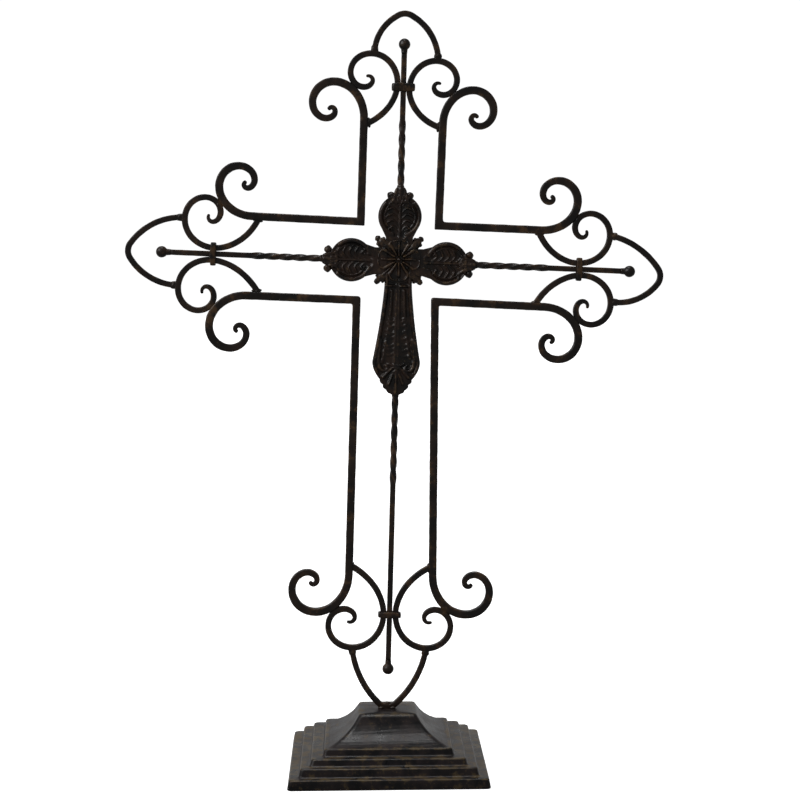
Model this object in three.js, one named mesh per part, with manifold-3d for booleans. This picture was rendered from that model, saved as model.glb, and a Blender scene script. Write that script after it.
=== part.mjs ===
// A free-standing wrought iron cross: four corner bars ending in scrolls, inner scrolls held to the rods
// by collars, pointed arches round ball-ended rods, a cast centrepiece, and a stepped square base.
// Millimetres. +Z is up and the front faces -Y. The origin is the centre of the underside of the base.
import * as THREE from "three";
import { mergeVertices } from "three/addons/utils/BufferGeometryUtils.js";
import Module from "manifold-3d";

const wasm = await Module();
wasm.setup();

// Joints between pieces
const WELD_GAP = 0.3;
const WELD_SEAT = 0.7;

// Stock
const BAR = 7.9;
const SCROLL_STOCK = 6;
const ROD = 5.5;
const TIP_TAPER = 0.5;
const LEG_TAPER_TURNS = 4;
const INNER_TAPER_TURNS = 2.2;

// Base
const STEP_WIDTHS = [194.5, 173, 151.5, 126.2];
const STEP_RISES = [10, 8.1, 6.6, 6.8];
const STEP_DRAFT = 1.7;
const STEP_CORNER = 4;
const COVE_WIDTH = 118;
const COVE_RISE = 25.7;
const COVE_SAG = 4;
const TOP_WIDTH = 57;
const TOP_CORNER = 4;

// Stance of the ironwork: it was welded on a little out of plumb, and its cross arms a little out of square
const LEAN_DEG = 1.8;
const ARM_DROOP_DEG = 0.9;
const FOOT_OFFSET = -0.3;
const FOOT_SEAT = 1.2;

// Reach of each arm, from the crossing of the rods to the point of its arch
const TOP_REACH = 244.5;
const LEFT_REACH = 269.5;
const RIGHT_REACH = 262.2;
const FOOT_REACH = 450.8;

// Arms: the places of the collar and the ball, and the ends of the legs below, move with the reach
const ARMS = {
  top: {
    collar: TOP_REACH - 72,
    ball: TOP_REACH - 30,
    arch: TOP_REACH,
    collarHeight: 8.2,
    archPointDeg: 27,
    twist: 66,
    archOffset: 0,
  },
  left: {
    collar: LEFT_REACH - 84.5,
    ball: LEFT_REACH - 33.5,
    arch: LEFT_REACH,
    collarHeight: 6,
    archPointDeg: 34,
    twist: 70,
    archOffset: 0,
  },
  right: {
    collar: RIGHT_REACH - 81.7,
    ball: RIGHT_REACH - 31.2,
    arch: RIGHT_REACH,
    collarHeight: 6,
    archPointDeg: 36,
    twist: 72,
    archOffset: -3.8,
  },
  bottom: {
    collar: FOOT_REACH - 94.3,
    ball: FOOT_REACH - 38.8,
    arch: FOOT_REACH,
    collarHeight: 6,
    archPointDeg: 44,
    twist: 90,
    archOffset: 0,
  },
};

// Corner bars: the two legs of each, by the arm that the leg runs along. offset is from the rod's centre line to
// the bar's, splay opens the leg from the rod, scroll is where the leg begins to bend, and weld is where its inner
// scroll starts. size and inner are the sizes of the leg's own scroll and of the inner scroll that rests on it
const CORNERS = {
  upper_left: [
    {
      arm: "top",
      side: 1,
      offset: 38.9,
      splayDeg: -0.4,
      scroll: TOP_REACH - 104,
      size: 0.92,
      inner: 0.91,
      weld: TOP_REACH - 110,
    },
    {
      arm: "left",
      side: -1,
      offset: 38.2,
      splayDeg: 0.4,
      scroll: LEFT_REACH - 122,
      size: 0.88,
      inner: 0.94,
      weld: LEFT_REACH - 129.5,
    },
  ],
  upper_right: [
    {
      arm: "right",
      side: 1,
      offset: 37.4,
      splayDeg: 0,
      scroll: RIGHT_REACH - 120.7,
      size: 0.89,
      inner: 0.94,
      weld: RIGHT_REACH - 124.7,
    },
    {
      arm: "top",
      side: -1,
      offset: 38.8,
      splayDeg: 0.8,
      scroll: TOP_REACH - 107,
      size: 0.89,
      inner: 0.88,
      weld: TOP_REACH - 111.5,
    },
  ],
  lower_left: [
    {
      arm: "left",
      side: 1,
      offset: 39.9,
      splayDeg: 0,
      scroll: LEFT_REACH - 119.5,
      size: 0.95,
      inner: 0.98,
      weld: LEFT_REACH - 132.5,
    },
    {
      arm: "bottom",
      side: -1,
      offset: 41.1,
      splayDeg: 0.2,
      scroll: FOOT_REACH - 134.8,
      size: 1.02,
      inner: 1.06,
      weld: FOOT_REACH - 144.3,
    },
  ],
  lower_right: [
    {
      arm: "bottom",
      side: 1,
      offset: 37.2,
      splayDeg: 1.1,
      scroll: FOOT_REACH - 135.3,
      size: 1.03,
      inner: 1.06,
      weld: FOOT_REACH - 144.8,
    },
    {
      arm: "right",
      side: -1,
      offset: 38.2,
      splayDeg: 0.4,
      scroll: RIGHT_REACH - 114.7,
      size: 0.93,
      inner: 0.95,
      weld: RIGHT_REACH - 125.2,
    },
  ],
};

// Scrolls, as the radius of bend at each quarter turn, tightening towards the tip
const LEG_SCROLL_RADII = [46.5, 24.8, 20.5, 12, 5, 3.1];
const LEG_SCROLL_TURNS = 5.65;
const INNER_SCROLL_RADII = [36, 25.9, 18.1, 13.3, 4.8];
const INNER_SCROLL_TURNS = 5.2;
const OPENING_SPREAD = 2.2;
const OPENING_STEPS = 10;
const STATIONS_PER_TURN = 5;

// Collars and ball ends
const COLLAR_BAND = 2.2;
const COLLAR_CLEARANCE = 0.4;
const COLLAR_END_ROUNDING = 0.45;
const BALL_DIAMETER = 11.6;
const BALL_NECK_LENGTH = 3;
const BALL_NECK_DIAMETER = 7;

// Arches
const ARCH_STOCK = 5.8;
const ARCH_POINT_RADIUS = 13;

// Twist of the rods: length of a quarter turn
const TWIST_PITCH = 14;

// Centrepiece
const CAST_RIM_DEPTH = 10;
const CAST_PANEL_DEPTH = 5;
const CAST_RELIEF_DEPTH = 9;
const RIM_WIDTH = 4;
const LOBE_RADIUS = 21.7;
const LOBE_CENTRE = { top: 45, left: 47.5, right: 47.5 };
const LOBE_NECK = 13.5;
const LOBE_WAIST = 33;
const LOBE_TIP = { top: 74.3, left: 77, right: 77.4 };
const FINIAL_BEAD_BACK = { top: 8.8, left: 6.2, right: 7 };
const FINIAL_BEAD_SPREAD = 9.2;
const SHAFT_TIP = 134;
const SHAFT_NECK = 13.7;
const SHAFT_WIDEST = 24;
const SHAFT_WIDEST_AT = 100;
const SHAFT_END = 118;
const SHAFT_END_WIDTH = 16;
const ROSETTE_RADIUS = 22;
const ROSETTE_DEPTH = 13;
const PETALS_RISE = 2.3;
const CORNER_BEAD_AT = 30.2;
const CORNER_BEADS_RISE = 1.4;
const BEAD_DIAMETER = 8;
const CORNER_BEAD_SIZE = 0.75;

const QUARTER = Math.PI / 2;
const PLATE_TOP = STEP_RISES.reduce((sum, rise) => sum + rise, COVE_RISE);

const IRON = { color: 0x231f1b, roughness: 0.5, metalness: 0.6 };
const CAST_IRON = { color: 0x1f1a16, roughness: 0.55, metalness: 0.5 };

const radians = (degrees) => (degrees * Math.PI) / 180;
const add = (p, q, scale = 1) => [p[0] + q[0] * scale, p[1] + q[1] * scale];
const distance = (p, q) => Math.hypot(p[0] - q[0], p[1] - q[1]);

// The plane of the ironwork holds points as [x, z]

function heading(angle) {
  return [Math.cos(angle), Math.sin(angle)];
}

const ARM_ANGLES = {
  top: QUARTER - radians(LEAN_DEG),
  bottom: -QUARTER - radians(LEAN_DEG),
  right: -radians(LEAN_DEG + ARM_DROOP_DEG),
  left: Math.PI - radians(LEAN_DEG + ARM_DROOP_DEG),
};

function findCrossing() {
  const reach = ARMS.bottom.arch + ARCH_STOCK / 2 - FOOT_SEAT;
  return add([FOOT_OFFSET, PLATE_TOP], heading(ARM_ANGLES.bottom), -reach);
}

const CROSSING = findCrossing();

// A point that lies along an arm and to the left of its direction
function armPoint(arm, along, left) {
  const angle = ARM_ANGLES[arm];
  return add(add(CROSSING, heading(angle), along), heading(angle + QUARTER), left);
}

// Points of a curve that starts at a point and a heading and turns to one side, with a radius of bend that runs
// evenly from each quarter turn's value to the next
function scrollCurve(start, angle, side, radii, turns, steps) {
  const points = [start];
  let point = start;
  for (let i = 0; i < steps; i++) {
    const middle = ((i + 0.5) * turns) / steps;
    const index = Math.min(Math.floor(middle), radii.length - 2);
    const radius = THREE.MathUtils.lerp(radii[index], radii[index + 1], Math.min(middle - index, 1));
    const turn = (turns * QUARTER) / steps;
    const chord = 2 * radius * Math.sin(turn / 2);
    point = add(point, heading(angle + side * middle * QUARTER), chord);
    points.push(point);
  }
  return points;
}

// Solids

function newSolid(positions, triangles) {
  const mesh = new wasm.Mesh({
    numProp: 3,
    vertProperties: new Float32Array(positions),
    triVerts: new Uint32Array(triangles),
  });
  return new wasm.Manifold(mesh);
}

// Turns every triangle over where they would face inwards
function facingOut(positions, triangles) {
  const solid = newSolid(positions, triangles);
  if (solid.volume() > 0) {
    return solid;
  }
  const turned = triangles.map((_, i) => triangles[i - (i % 3) + ((3 - (i % 3)) % 3)]);
  return newSolid(positions, turned);
}

function solidOf(geometry) {
  const bare = geometry.clone();
  bare.deleteAttribute("normal");
  bare.deleteAttribute("uv");
  const merged = mergeVertices(bare, 1e-4);
  return newSolid(merged.attributes.position.array, merged.index.array);
}

function geometryOf(solid) {
  const mesh = solid.getMesh();
  const geometry = new THREE.BufferGeometry();
  geometry.setAttribute("position", new THREE.BufferAttribute(new Float32Array(mesh.vertProperties), 3));
  geometry.setIndex(new THREE.BufferAttribute(new Uint32Array(mesh.triVerts), 1));
  geometry.computeVertexNormals();
  return geometry;
}

// A closed skin over rings of equally many points, each ring an array of [x, y, z]
function loft(rings) {
  const count = rings[0].length;
  const positions = rings.flat(2);
  const triangles = [];
  for (let r = 0; r + 1 < rings.length; r++) {
    for (let i = 0; i < count; i++) {
      const a = r * count + i;
      const b = r * count + ((i + 1) % count);
      triangles.push(a, b, b + count, a, b + count, a + count);
    }
  }
  const last = (rings.length - 1) * count;
  for (let i = 1; i + 1 < count; i++) {
    triangles.push(0, i + 1, i, last, last + i, last + i + 1);
  }
  return facingOut(positions, triangles);
}

// Directions across a path in the plane at each of its points, stretched at a mitre
function mitres(points) {
  return points.map((point, i) => {
    const before = points[Math.max(i - 1, 0)];
    const after = points[Math.min(i + 1, points.length - 1)];
    const into = i > 0 ? Math.atan2(point[1] - before[1], point[0] - before[0]) : null;
    const out = i + 1 < points.length ? Math.atan2(after[1] - point[1], after[0] - point[0]) : null;
    const first = into ?? out;
    const second = out ?? into;
    const half = Math.atan2(Math.sin(second - first), Math.cos(second - first)) / 2;
    const across = heading(first + half + QUARTER);
    return [across[0] / Math.cos(half), across[1] / Math.cos(half)];
  });
}

// Square stock along a path in the plane of the ironwork, as wide at each point as widths says, and as deep
function bar(points, widths, grow = 0) {
  const across = mitres(points);
  const rings = points.map((point, i) => {
    const half = widths[i] / 2 + grow;
    const left = add(point, across[i], half);
    const right = add(point, across[i], -half);
    return [
      [left[0], -half, left[1]],
      [right[0], -half, right[1]],
      [right[0], half, right[1]],
      [left[0], half, left[1]],
    ];
  });
  return loft(rings);
}

// Widths of a bar whose last quarter turns are drawn down to a thinner tip
function taperedWidths(steps, turns, taper, stock) {
  return Array.from({ length: steps + 1 }, (_, i) => {
    const fromTip = ((steps - i) / steps) * turns;
    const share = THREE.MathUtils.clamp(1 - fromTip / taper, 0, 1);
    return stock * (1 - (1 - TIP_TAPER) * share);
  });
}

// Distance from a point to a path
function distanceToPath(point, path) {
  let least = Infinity;
  for (let i = 0; i + 1 < path.length; i++) {
    const run = add(path[i + 1], path[i], -1);
    const offset = add(point, path[i], -1);
    const length = run[0] * run[0] + run[1] * run[1];
    const share = THREE.MathUtils.clamp((offset[0] * run[0] + offset[1] * run[1]) / length, 0, 1);
    least = Math.min(least, distance(offset, [run[0] * share, run[1] * share]));
  }
  return least;
}

// Corner bars

function legPoint(leg, along) {
  const left = leg.side * (leg.offset + (along - leg.offset) * Math.tan(radians(leg.splayDeg)));
  return armPoint(leg.arm, along, left);
}

function legAngle(leg) {
  return ARM_ANGLES[leg.arm] + leg.side * radians(leg.splayDeg);
}

const LEG_STEPS = Math.round(LEG_SCROLL_TURNS * STATIONS_PER_TURN);
const INNER_STEPS = Math.round(INNER_SCROLL_TURNS * STATIONS_PER_TURN);

function legCurve(leg) {
  const radii = LEG_SCROLL_RADII.map((radius) => radius * leg.size);
  return scrollCurve(legPoint(leg, leg.scroll), legAngle(leg), leg.side, radii, LEG_SCROLL_TURNS, LEG_STEPS);
}

// Where the centre lines of the two legs meet
function legsMeet(first, second) {
  const start = legPoint(first, 0);
  const run = heading(legAngle(first));
  const other = legPoint(second, 0);
  const otherRun = heading(legAngle(second));
  const gap = add(other, start, -1);
  const cross = run[0] * otherRun[1] - run[1] * otherRun[0];
  return add(start, run, (gap[0] * otherRun[1] - gap[1] * otherRun[0]) / cross);
}

// The legs meet in a mitre
function cornerBar(legs) {
  const [first, second] = legs.map(legCurve);
  const widths = taperedWidths(LEG_STEPS, LEG_SCROLL_TURNS, LEG_TAPER_TURNS, BAR);
  return {
    points: [...first.reverse(), legsMeet(...legs), ...second],
    widths: [...widths.toReversed(), BAR, ...widths],
  };
}

const cornerBars = Object.fromEntries(
  Object.entries(CORNERS).map(([name, legs]) => [name, cornerBar(legs)]),
);

// Inner scrolls: each lies against the rod at the collar, opens to a weld on its leg, and is turned about the
// collar until its curl rests on the leg's own scroll

// The quarter turns between which a curl may rest on the leg's scroll
const REST_BETWEEN = [1.4, 4];
const MOST_TILT = radians(20);
const INNER_OFFSET = ROD / 2 + WELD_GAP + SCROLL_STOCK / 2;

function innerCurve(leg, tilt) {
  const start = armPoint(leg.arm, ARMS[leg.arm].collar, leg.side * INNER_OFFSET);
  const angle = ARM_ANGLES[leg.arm] + leg.side * tilt;
  const radii = INNER_SCROLL_RADII.map((radius) => radius * leg.inner);
  return scrollCurve(start, angle, leg.side, radii, INNER_SCROLL_TURNS, INNER_STEPS);
}

// Distance along a leg's arm, and towards the rod from the leg's centre line
function besideLeg(leg, point) {
  const from = add(point, CROSSING, -1);
  const along = heading(ARM_ANGLES[leg.arm]);
  const across = heading(legAngle(leg) + leg.side * QUARTER);
  const offset = add(point, legPoint(leg, 0), -1);
  return [from[0] * along[0] + from[1] * along[1], -(offset[0] * across[0] + offset[1] * across[1])];
}

// The stretch from the collar back to the leg, bent less and less, up to the leg's centre line
function openingCurve(leg, tilt, radius) {
  const start = armPoint(leg.arm, ARMS[leg.arm].collar, leg.side * INNER_OFFSET);
  const angle = ARM_ANGLES[leg.arm] + leg.side * tilt + Math.PI;
  const radii = [radius, radius * OPENING_SPREAD];
  const curve = scrollCurve(start, angle, -leg.side, radii, 1, OPENING_STEPS);
  const offsets = curve.map((point) => besideLeg(leg, point)[1]);
  const past = Math.max(offsets.findIndex((offset) => offset <= 0), 1);
  const share = offsets[past - 1] / (offsets[past - 1] - offsets[past]);
  const end = add(curve[past - 1], add(curve[past], curve[past - 1], -1), share);
  return [...curve.slice(0, past), end];
}

// The value between two bounds at which a rising test first holds
function firstThatHolds(low, high, test) {
  let fails = low;
  let holds = high;
  for (let i = 0; i < 30; i++) {
    const middle = (fails + holds) / 2;
    if (test(middle)) {
      holds = middle;
    } else {
      fails = middle;
    }
  }
  return holds;
}

function innerScroll(leg, host) {
  const touch = BAR / 2 + SCROLL_STOCK / 2 - WELD_SEAT;
  const [first, last] = REST_BETWEEN.map((turns) => Math.round(turns * STATIONS_PER_TURN));
  const tilt = firstThatHolds(-MOST_TILT, MOST_TILT, (turned) => {
    const curl = innerCurve(leg, turned).slice(first, last);
    return Math.min(...curl.map((point) => distanceToPath(point, host.points))) <= touch;
  });
  const radius = firstThatHolds(SCROLL_STOCK, leg.offset * 4, (bend) => {
    return besideLeg(leg, openingCurve(leg, tilt, bend).at(-1))[0] <= leg.weld;
  });
  const curl = innerCurve(leg, tilt);
  const opening = openingCurve(leg, tilt, radius).slice(1).reverse();
  const widths = taperedWidths(INNER_STEPS, INNER_SCROLL_TURNS, INNER_TAPER_TURNS, SCROLL_STOCK);
  return {
    crest: curl[STATIONS_PER_TURN],
    points: [...opening, ...curl],
    widths: [...opening.map(() => SCROLL_STOCK), ...widths],
  };
}

const innerScrolls = {};
for (const [name, legs] of Object.entries(CORNERS)) {
  for (const leg of legs) {
    innerScrolls[`${leg.arm}_${name}`] = { leg, host: name, ...innerScroll(leg, cornerBars[name]) };
  }
}

function scrollsOn(arm) {
  return Object.values(innerScrolls).filter((scroll) => scroll.leg.arm === arm);
}

// Arches: a rounded point, then an arc on each side to the crest of an inner scroll

function archSide(arm, side, crest) {
  const { arch, archPointDeg, archOffset } = ARMS[arm];
  const tip = armPoint(arm, arch, archOffset);
  const angle = ARM_ANGLES[arm] + side * QUARTER;
  const turns = archPointDeg / 90;
  const point = scrollCurve(tip, angle, side, [ARCH_POINT_RADIUS, ARCH_POINT_RADIUS], turns, 3);
  const start = point.at(-1);
  const along = heading(angle + side * radians(archPointDeg));
  const inward = heading(angle + side * radians(archPointDeg) + side * QUARTER);
  const chord = add(crest, start, -1);
  const forward = chord[0] * along[0] + chord[1] * along[1];
  const across = chord[0] * inward[0] + chord[1] * inward[1];
  const radius = (forward * forward + across * across) / (2 * across);
  const rest = (2 * Math.atan2(across, forward)) / QUARTER;
  const arc = scrollCurve(start, angle + side * radians(archPointDeg), side, [radius, radius], rest, 7);
  return [...point, ...arc.slice(1)];
}

function arch(arm) {
  const sides = scrollsOn(arm).map((scroll) => archSide(arm, scroll.leg.side, scroll.crest));
  const points = [...sides[0].reverse(), ...sides[1].slice(1)];
  return { points, widths: points.map(() => ARCH_STOCK) };
}

// Rods: square stock, twisted between the centrepiece and the twist's end, plain beyond it

function castTip(arm) {
  return arm === "bottom" ? SHAFT_TIP : LOBE_TIP[arm];
}

function rod(arm) {
  const { ball, twist } = ARMS[arm];
  const start = castTip(arm) + WELD_GAP;
  const end = ball - BALL_DIAMETER / 2 - BALL_NECK_LENGTH - WELD_GAP;
  const quarters = Math.round(twist / TWIST_PITCH);
  const steps = quarters * 4;
  const stations = Array.from({ length: steps + 1 }, (_, i) => ({
    along: start + (twist * i) / steps,
    turn: (quarters * QUARTER * i) / steps,
  }));
  stations.push({ along: end, turn: quarters * QUARTER });
  const angle = ARM_ANGLES[arm];
  const across = heading(angle + QUARTER);
  const rings = stations.map(({ along, turn }) => {
    const centre = armPoint(arm, along, 0);
    return [0, 1, 2, 3].map((corner) => {
      const direction = turn + (corner + 0.5) * QUARTER;
      const reach = ROD * Math.SQRT1_2;
      const place = add(centre, across, reach * Math.cos(direction));
      return [place[0], reach * Math.sin(direction), place[1]];
    });
  });
  return loft(rings);
}

// Turns a piece that was made along +Z, with its width along X, so that it lies along an arm
function layAlong(geometry, arm, along, left = 0) {
  const place = armPoint(arm, along, left);
  geometry.rotateY(QUARTER - ARM_ANGLES[arm]);
  geometry.translate(place[0], 0, place[1]);
  return geometry;
}

function ballEnd(arm) {
  const radius = BALL_DIAMETER / 2;
  const neck = BALL_NECK_DIAMETER / 2;
  const meets = Math.asin(neck / radius);
  const foot = -radius - BALL_NECK_LENGTH;
  const profile = [new THREE.Vector2(0, foot), new THREE.Vector2(ROD / 2, foot)];
  const rings = 5;
  for (let i = 0; i <= rings; i++) {
    const polar = meets + ((Math.PI - meets) * i) / rings;
    profile.push(new THREE.Vector2(i === rings ? 0 : radius * Math.sin(polar), -radius * Math.cos(polar)));
  }
  const geometry = new THREE.LatheGeometry(profile, 10);
  geometry.rotateX(QUARTER);
  return geometryOf(solidOf(layAlong(geometry, arm, ARMS[arm].ball)));
}

function roundedOutline(width, height, radius, steps = 4) {
  const points = [];
  const corners = [
    [1, 1, 0],
    [-1, 1, 1],
    [-1, -1, 2],
    [1, -1, 3],
  ];
  for (const [sx, sy, quarter] of corners) {
    for (let i = 0; i <= steps; i++) {
      const direction = (quarter + i / steps) * QUARTER;
      points.push(
        new THREE.Vector2(
          sx * (width / 2 - radius) + radius * Math.cos(direction),
          sy * (height / 2 - radius) + radius * Math.sin(direction),
        ),
      );
    }
  }
  return points;
}

function prism(outline, depth) {
  const geometry = new THREE.ExtrudeGeometry(new THREE.Shape(outline), { depth, bevelEnabled: false });
  geometry.translate(0, 0, -depth / 2);
  return geometry;
}

// A band round the rod and the two scrolls beside it, with its ends rounded as seen from the front
function collar(arm) {
  const height = ARMS[arm].collarHeight;
  const innerWidth = ROD + 2 * (WELD_GAP + SCROLL_STOCK + COLLAR_CLEARANCE);
  const innerDepth = SCROLL_STOCK + 2 * COLLAR_CLEARANCE;
  const width = innerWidth + 2 * COLLAR_BAND;
  const depth = innerDepth + 2 * COLLAR_BAND;
  const band = solidOf(prism(roundedOutline(width, depth, COLLAR_BAND, 1), height));
  const inside = new THREE.BoxGeometry(innerWidth, innerDepth, 2 * height);
  const face = prism(roundedOutline(width, height, height * COLLAR_END_ROUNDING, 3), 2 * depth);
  face.rotateX(QUARTER);
  const geometry = geometryOf(band.subtract(solidOf(inside)).intersect(solidOf(face)));
  let solid = solidOf(layAlong(geometry, arm, ARMS[arm].collar));
  for (const scroll of scrollsOn(arm)) {
    solid = solid.subtract(bar(scroll.points, scroll.widths, WELD_GAP));
  }
  return geometryOf(solid);
}

// Centrepiece, made flat with its front towards -Y, lying along +Z from the crossing

// A leaf with a raised spine on the front and on the back, lying along +Z from its foot
function leaf(length, width, depth, foot, side, turn) {
  const shape = [
    [0, 0],
    [0.35, 0.45],
    [0.75, 0.42],
    [1, 0],
    [0.75, -0.42],
    [0.35, -0.45],
  ];
  const outline = shape.map(([along, across]) => [across * width, 0, along * length]);
  const positions = [...outline, [0, -depth / 2, 0.55 * length], [0, depth / 2, 0.55 * length]].flat();
  const count = outline.length;
  const triangles = [];
  for (let i = 0; i < count; i++) {
    const next = (i + 1) % count;
    triangles.push(i, next, count, next, i, count + 1);
  }
  const geometry = new THREE.BufferGeometry();
  geometry.setAttribute("position", new THREE.BufferAttribute(new Float32Array(positions), 3));
  geometry.setIndex(triangles);
  geometry.rotateY(turn);
  geometry.translate(side, 0, foot);
  return facingOut(geometry.attributes.position.array, triangles);
}

function bead(along, side, diameter, depth = diameter) {
  const geometry = new THREE.SphereGeometry(diameter / 2, 6, 4);
  geometry.scale(1, depth / diameter, 1);
  geometry.translate(side, 0, along);
  return solidOf(geometry);
}

// A flat piece of an outline of [along, side] points
function slab(outline, depth, middle = 0) {
  const shape = new THREE.Shape(outline.map(([along, side]) => new THREE.Vector2(side, along)));
  const geometry = new THREE.ExtrudeGeometry(shape, { depth, bevelEnabled: false });
  geometry.rotateX(QUARTER);
  geometry.translate(0, middle + depth / 2, 0);
  return solidOf(geometry);
}

// A closed outline from the side of it that lies at positive distances from the axis
function symmetric(side) {
  return [...side, ...side.toReversed().map(([along, half]) => [along, -half])];
}

function circle(centre, radius, count) {
  return Array.from({ length: count }, (_, i) => {
    const direction = (i / count) * 2 * Math.PI;
    return [centre + radius * Math.cos(direction), radius * Math.sin(direction)];
  });
}

// Sinks a panel into the front and the back of a slab
function sinkPanel(solid, outline) {
  const sunk = (CAST_RIM_DEPTH - CAST_PANEL_DEPTH) / 2;
  const middle = (CAST_PANEL_DEPTH + sunk + 1) / 2;
  const front = slab(outline, sunk + 1, -middle);
  const back = slab(outline, sunk + 1, middle);
  return solid.subtract(front).subtract(back);
}

function lobe(arm) {
  const centre = LOBE_CENTRE[arm];
  const tip = LOBE_TIP[arm];
  const throat = symmetric([
    [ROSETTE_RADIUS / 2, LOBE_NECK],
    [ROSETTE_RADIUS, LOBE_NECK],
    [LOBE_WAIST, Math.sqrt(LOBE_RADIUS ** 2 - (centre - LOBE_WAIST) ** 2)],
  ]);
  const round = slab(circle(centre, LOBE_RADIUS, 16), CAST_RIM_DEPTH);
  let solid = round.add(slab(throat, CAST_RIM_DEPTH));
  solid = sinkPanel(solid, circle(centre, LOBE_RADIUS - RIM_WIDTH, 12));
  const foot = centre - LOBE_RADIUS + RIM_WIDTH / 2;
  const reach = 2 * LOBE_RADIUS - 2 * RIM_WIDTH;
  solid = solid.add(leaf(reach, 9, CAST_RELIEF_DEPTH, foot, 0, 0));
  for (const side of [-1, 1]) {
    solid = solid.add(leaf(0.52 * reach, 9, CAST_RELIEF_DEPTH, foot + 0.12 * reach, side * 2, side * 0.75));
    solid = solid.add(leaf(0.46 * reach, 9, CAST_RELIEF_DEPTH, foot + 0.46 * reach, side * 2, side * 0.6));
    solid = solid.add(bead(tip - FINIAL_BEAD_BACK[arm], side * FINIAL_BEAD_SPREAD, BEAD_DIAMETER));
  }
  const finial = symmetric([
    [tip - 15, 9.5],
    [tip - 9, 7],
    [tip - 4, 6.2],
    [tip - 1.2, 4.5],
    [tip, ROD / 2],
  ]);
  return solid.add(slab(finial, CAST_RELIEF_DEPTH));
}

// Half the width of the shaft at a distance from the crossing
function shaftHalfWidth(along) {
  if (along <= SHAFT_WIDEST_AT) {
    const share = Math.max(along - ROSETTE_RADIUS, 0) / (SHAFT_WIDEST_AT - ROSETTE_RADIUS);
    return SHAFT_NECK + (SHAFT_WIDEST - SHAFT_NECK) * share ** 1.4;
  }
  const share = (along - SHAFT_WIDEST_AT) / (SHAFT_END - SHAFT_WIDEST_AT);
  return SHAFT_END_WIDTH + (SHAFT_WIDEST - SHAFT_END_WIDTH) * (1 - share * share);
}

function shaftOutline(from, to, inset, steps) {
  const side = Array.from({ length: steps + 1 }, (_, i) => {
    const along = from + ((to - from) * i) / steps;
    return [along, shaftHalfWidth(along) - inset];
  });
  return symmetric(side);
}

function shaft() {
  let solid = slab(shaftOutline(ROSETTE_RADIUS / 2, SHAFT_END, 0, 10), CAST_RIM_DEPTH);
  solid = sinkPanel(solid, shaftOutline(ROSETTE_RADIUS + 3, SHAFT_WIDEST_AT + 8, RIM_WIDTH, 6));
  const rib = symmetric([
    [ROSETTE_RADIUS, 2.2],
    [SHAFT_END, 2.8],
  ]);
  solid = solid.add(slab(rib, 0.85 * CAST_RELIEF_DEPTH));
  const pairs = 4;
  const first = ROSETTE_RADIUS + 12;
  const pitch = (SHAFT_WIDEST_AT - 8 - first) / (pairs - 1);
  for (let i = 0; i < pairs; i++) {
    const along = first + pitch * i;
    const length = (shaftHalfWidth(along) - RIM_WIDTH) * 1.25;
    for (const side of [-1, 1]) {
      const quill = leaf(length, 9, 0.9 * CAST_RELIEF_DEPTH, along + 4, side, Math.PI - side * 0.75);
      solid = solid.add(quill);
    }
  }
  const root = SHAFT_TIP - 27;
  for (const [turn, length] of [[0, 27], [0.36, 24], [-0.36, 24], [0.8, 20], [-0.8, 20]]) {
    solid = solid.add(leaf(length, 10, CAST_RIM_DEPTH + 0.6, root, 0, turn));
  }
  const end = symmetric([
    [SHAFT_END - 2, SHAFT_END_WIDTH + 1],
    [SHAFT_TIP - 11, 13.2],
    [SHAFT_TIP - 6, 10.2],
    [SHAFT_TIP - 2.4, 6],
    [SHAFT_TIP, ROD / 2],
  ]);
  return solid.add(slab(end, CAST_RELIEF_DEPTH));
}

function rosette() {
  let solid = slab(circle(0, ROSETTE_RADIUS, 12), CAST_RIM_DEPTH);
  for (let i = 0; i < 4; i++) {
    solid = solid.add(leaf(ROSETTE_RADIUS - 2, 13, ROSETTE_DEPTH, PETALS_RISE, 0, i * QUARTER));
    const diagonal = (i + 0.5) * QUARTER;
    solid = solid.add(leaf(CORNER_BEAD_AT, 11, ROSETTE_DEPTH, CORNER_BEADS_RISE, 0, diagonal));
    const at = add([CORNER_BEADS_RISE, 0], heading(diagonal), CORNER_BEAD_AT);
    solid = solid.add(bead(at[0], at[1], BEAD_DIAMETER * CORNER_BEAD_SIZE));
  }
  return solid.add(bead(PETALS_RISE, 0, BEAD_DIAMETER, ROSETTE_DEPTH + 2));
}

function centrepiece() {
  let solid = solidOf(layAlong(geometryOf(rosette()), "top", 0));
  for (const arm of Object.keys(LOBE_CENTRE)) {
    solid = solid.add(solidOf(layAlong(geometryOf(lobe(arm)), arm, 0)));
  }
  return geometryOf(solid.add(solidOf(layAlong(geometryOf(shaft()), "bottom", 0))));
}

// Base: four steps, each riser leaning in a little, a coved pyramid and a flat top

function squareRing(width, corner, height) {
  return roundedOutline(width, width, corner, 2).map((point) => [point.x, point.y, height]);
}

function base(grow = 0) {
  const rings = [];
  let height = 0;
  STEP_WIDTHS.forEach((width, i) => {
    rings.push(squareRing(width + 2 * STEP_DRAFT, STEP_CORNER, height));
    height += STEP_RISES[i];
    rings.push(squareRing(width, STEP_CORNER, height));
  });
  const steps = 6;
  for (let i = 0; i <= steps; i++) {
    const share = i / steps;
    const sag = 4 * COVE_SAG * share * (1 - share);
    const chord = Math.hypot((COVE_WIDTH - TOP_WIDTH) / 2, COVE_RISE);
    const width = COVE_WIDTH + (TOP_WIDTH - COVE_WIDTH) * share - (2 * sag * COVE_RISE) / chord;
    const fall = (sag * (COVE_WIDTH - TOP_WIDTH)) / 2 / chord;
    const corner = STEP_CORNER + (TOP_CORNER - STEP_CORNER) * share;
    rings.push(squareRing(width, corner, height + COVE_RISE * share - fall + (i === steps ? grow : 0)));
  }
  return loft(rings);
}

// Scene graph

const group = new THREE.Group();

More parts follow.
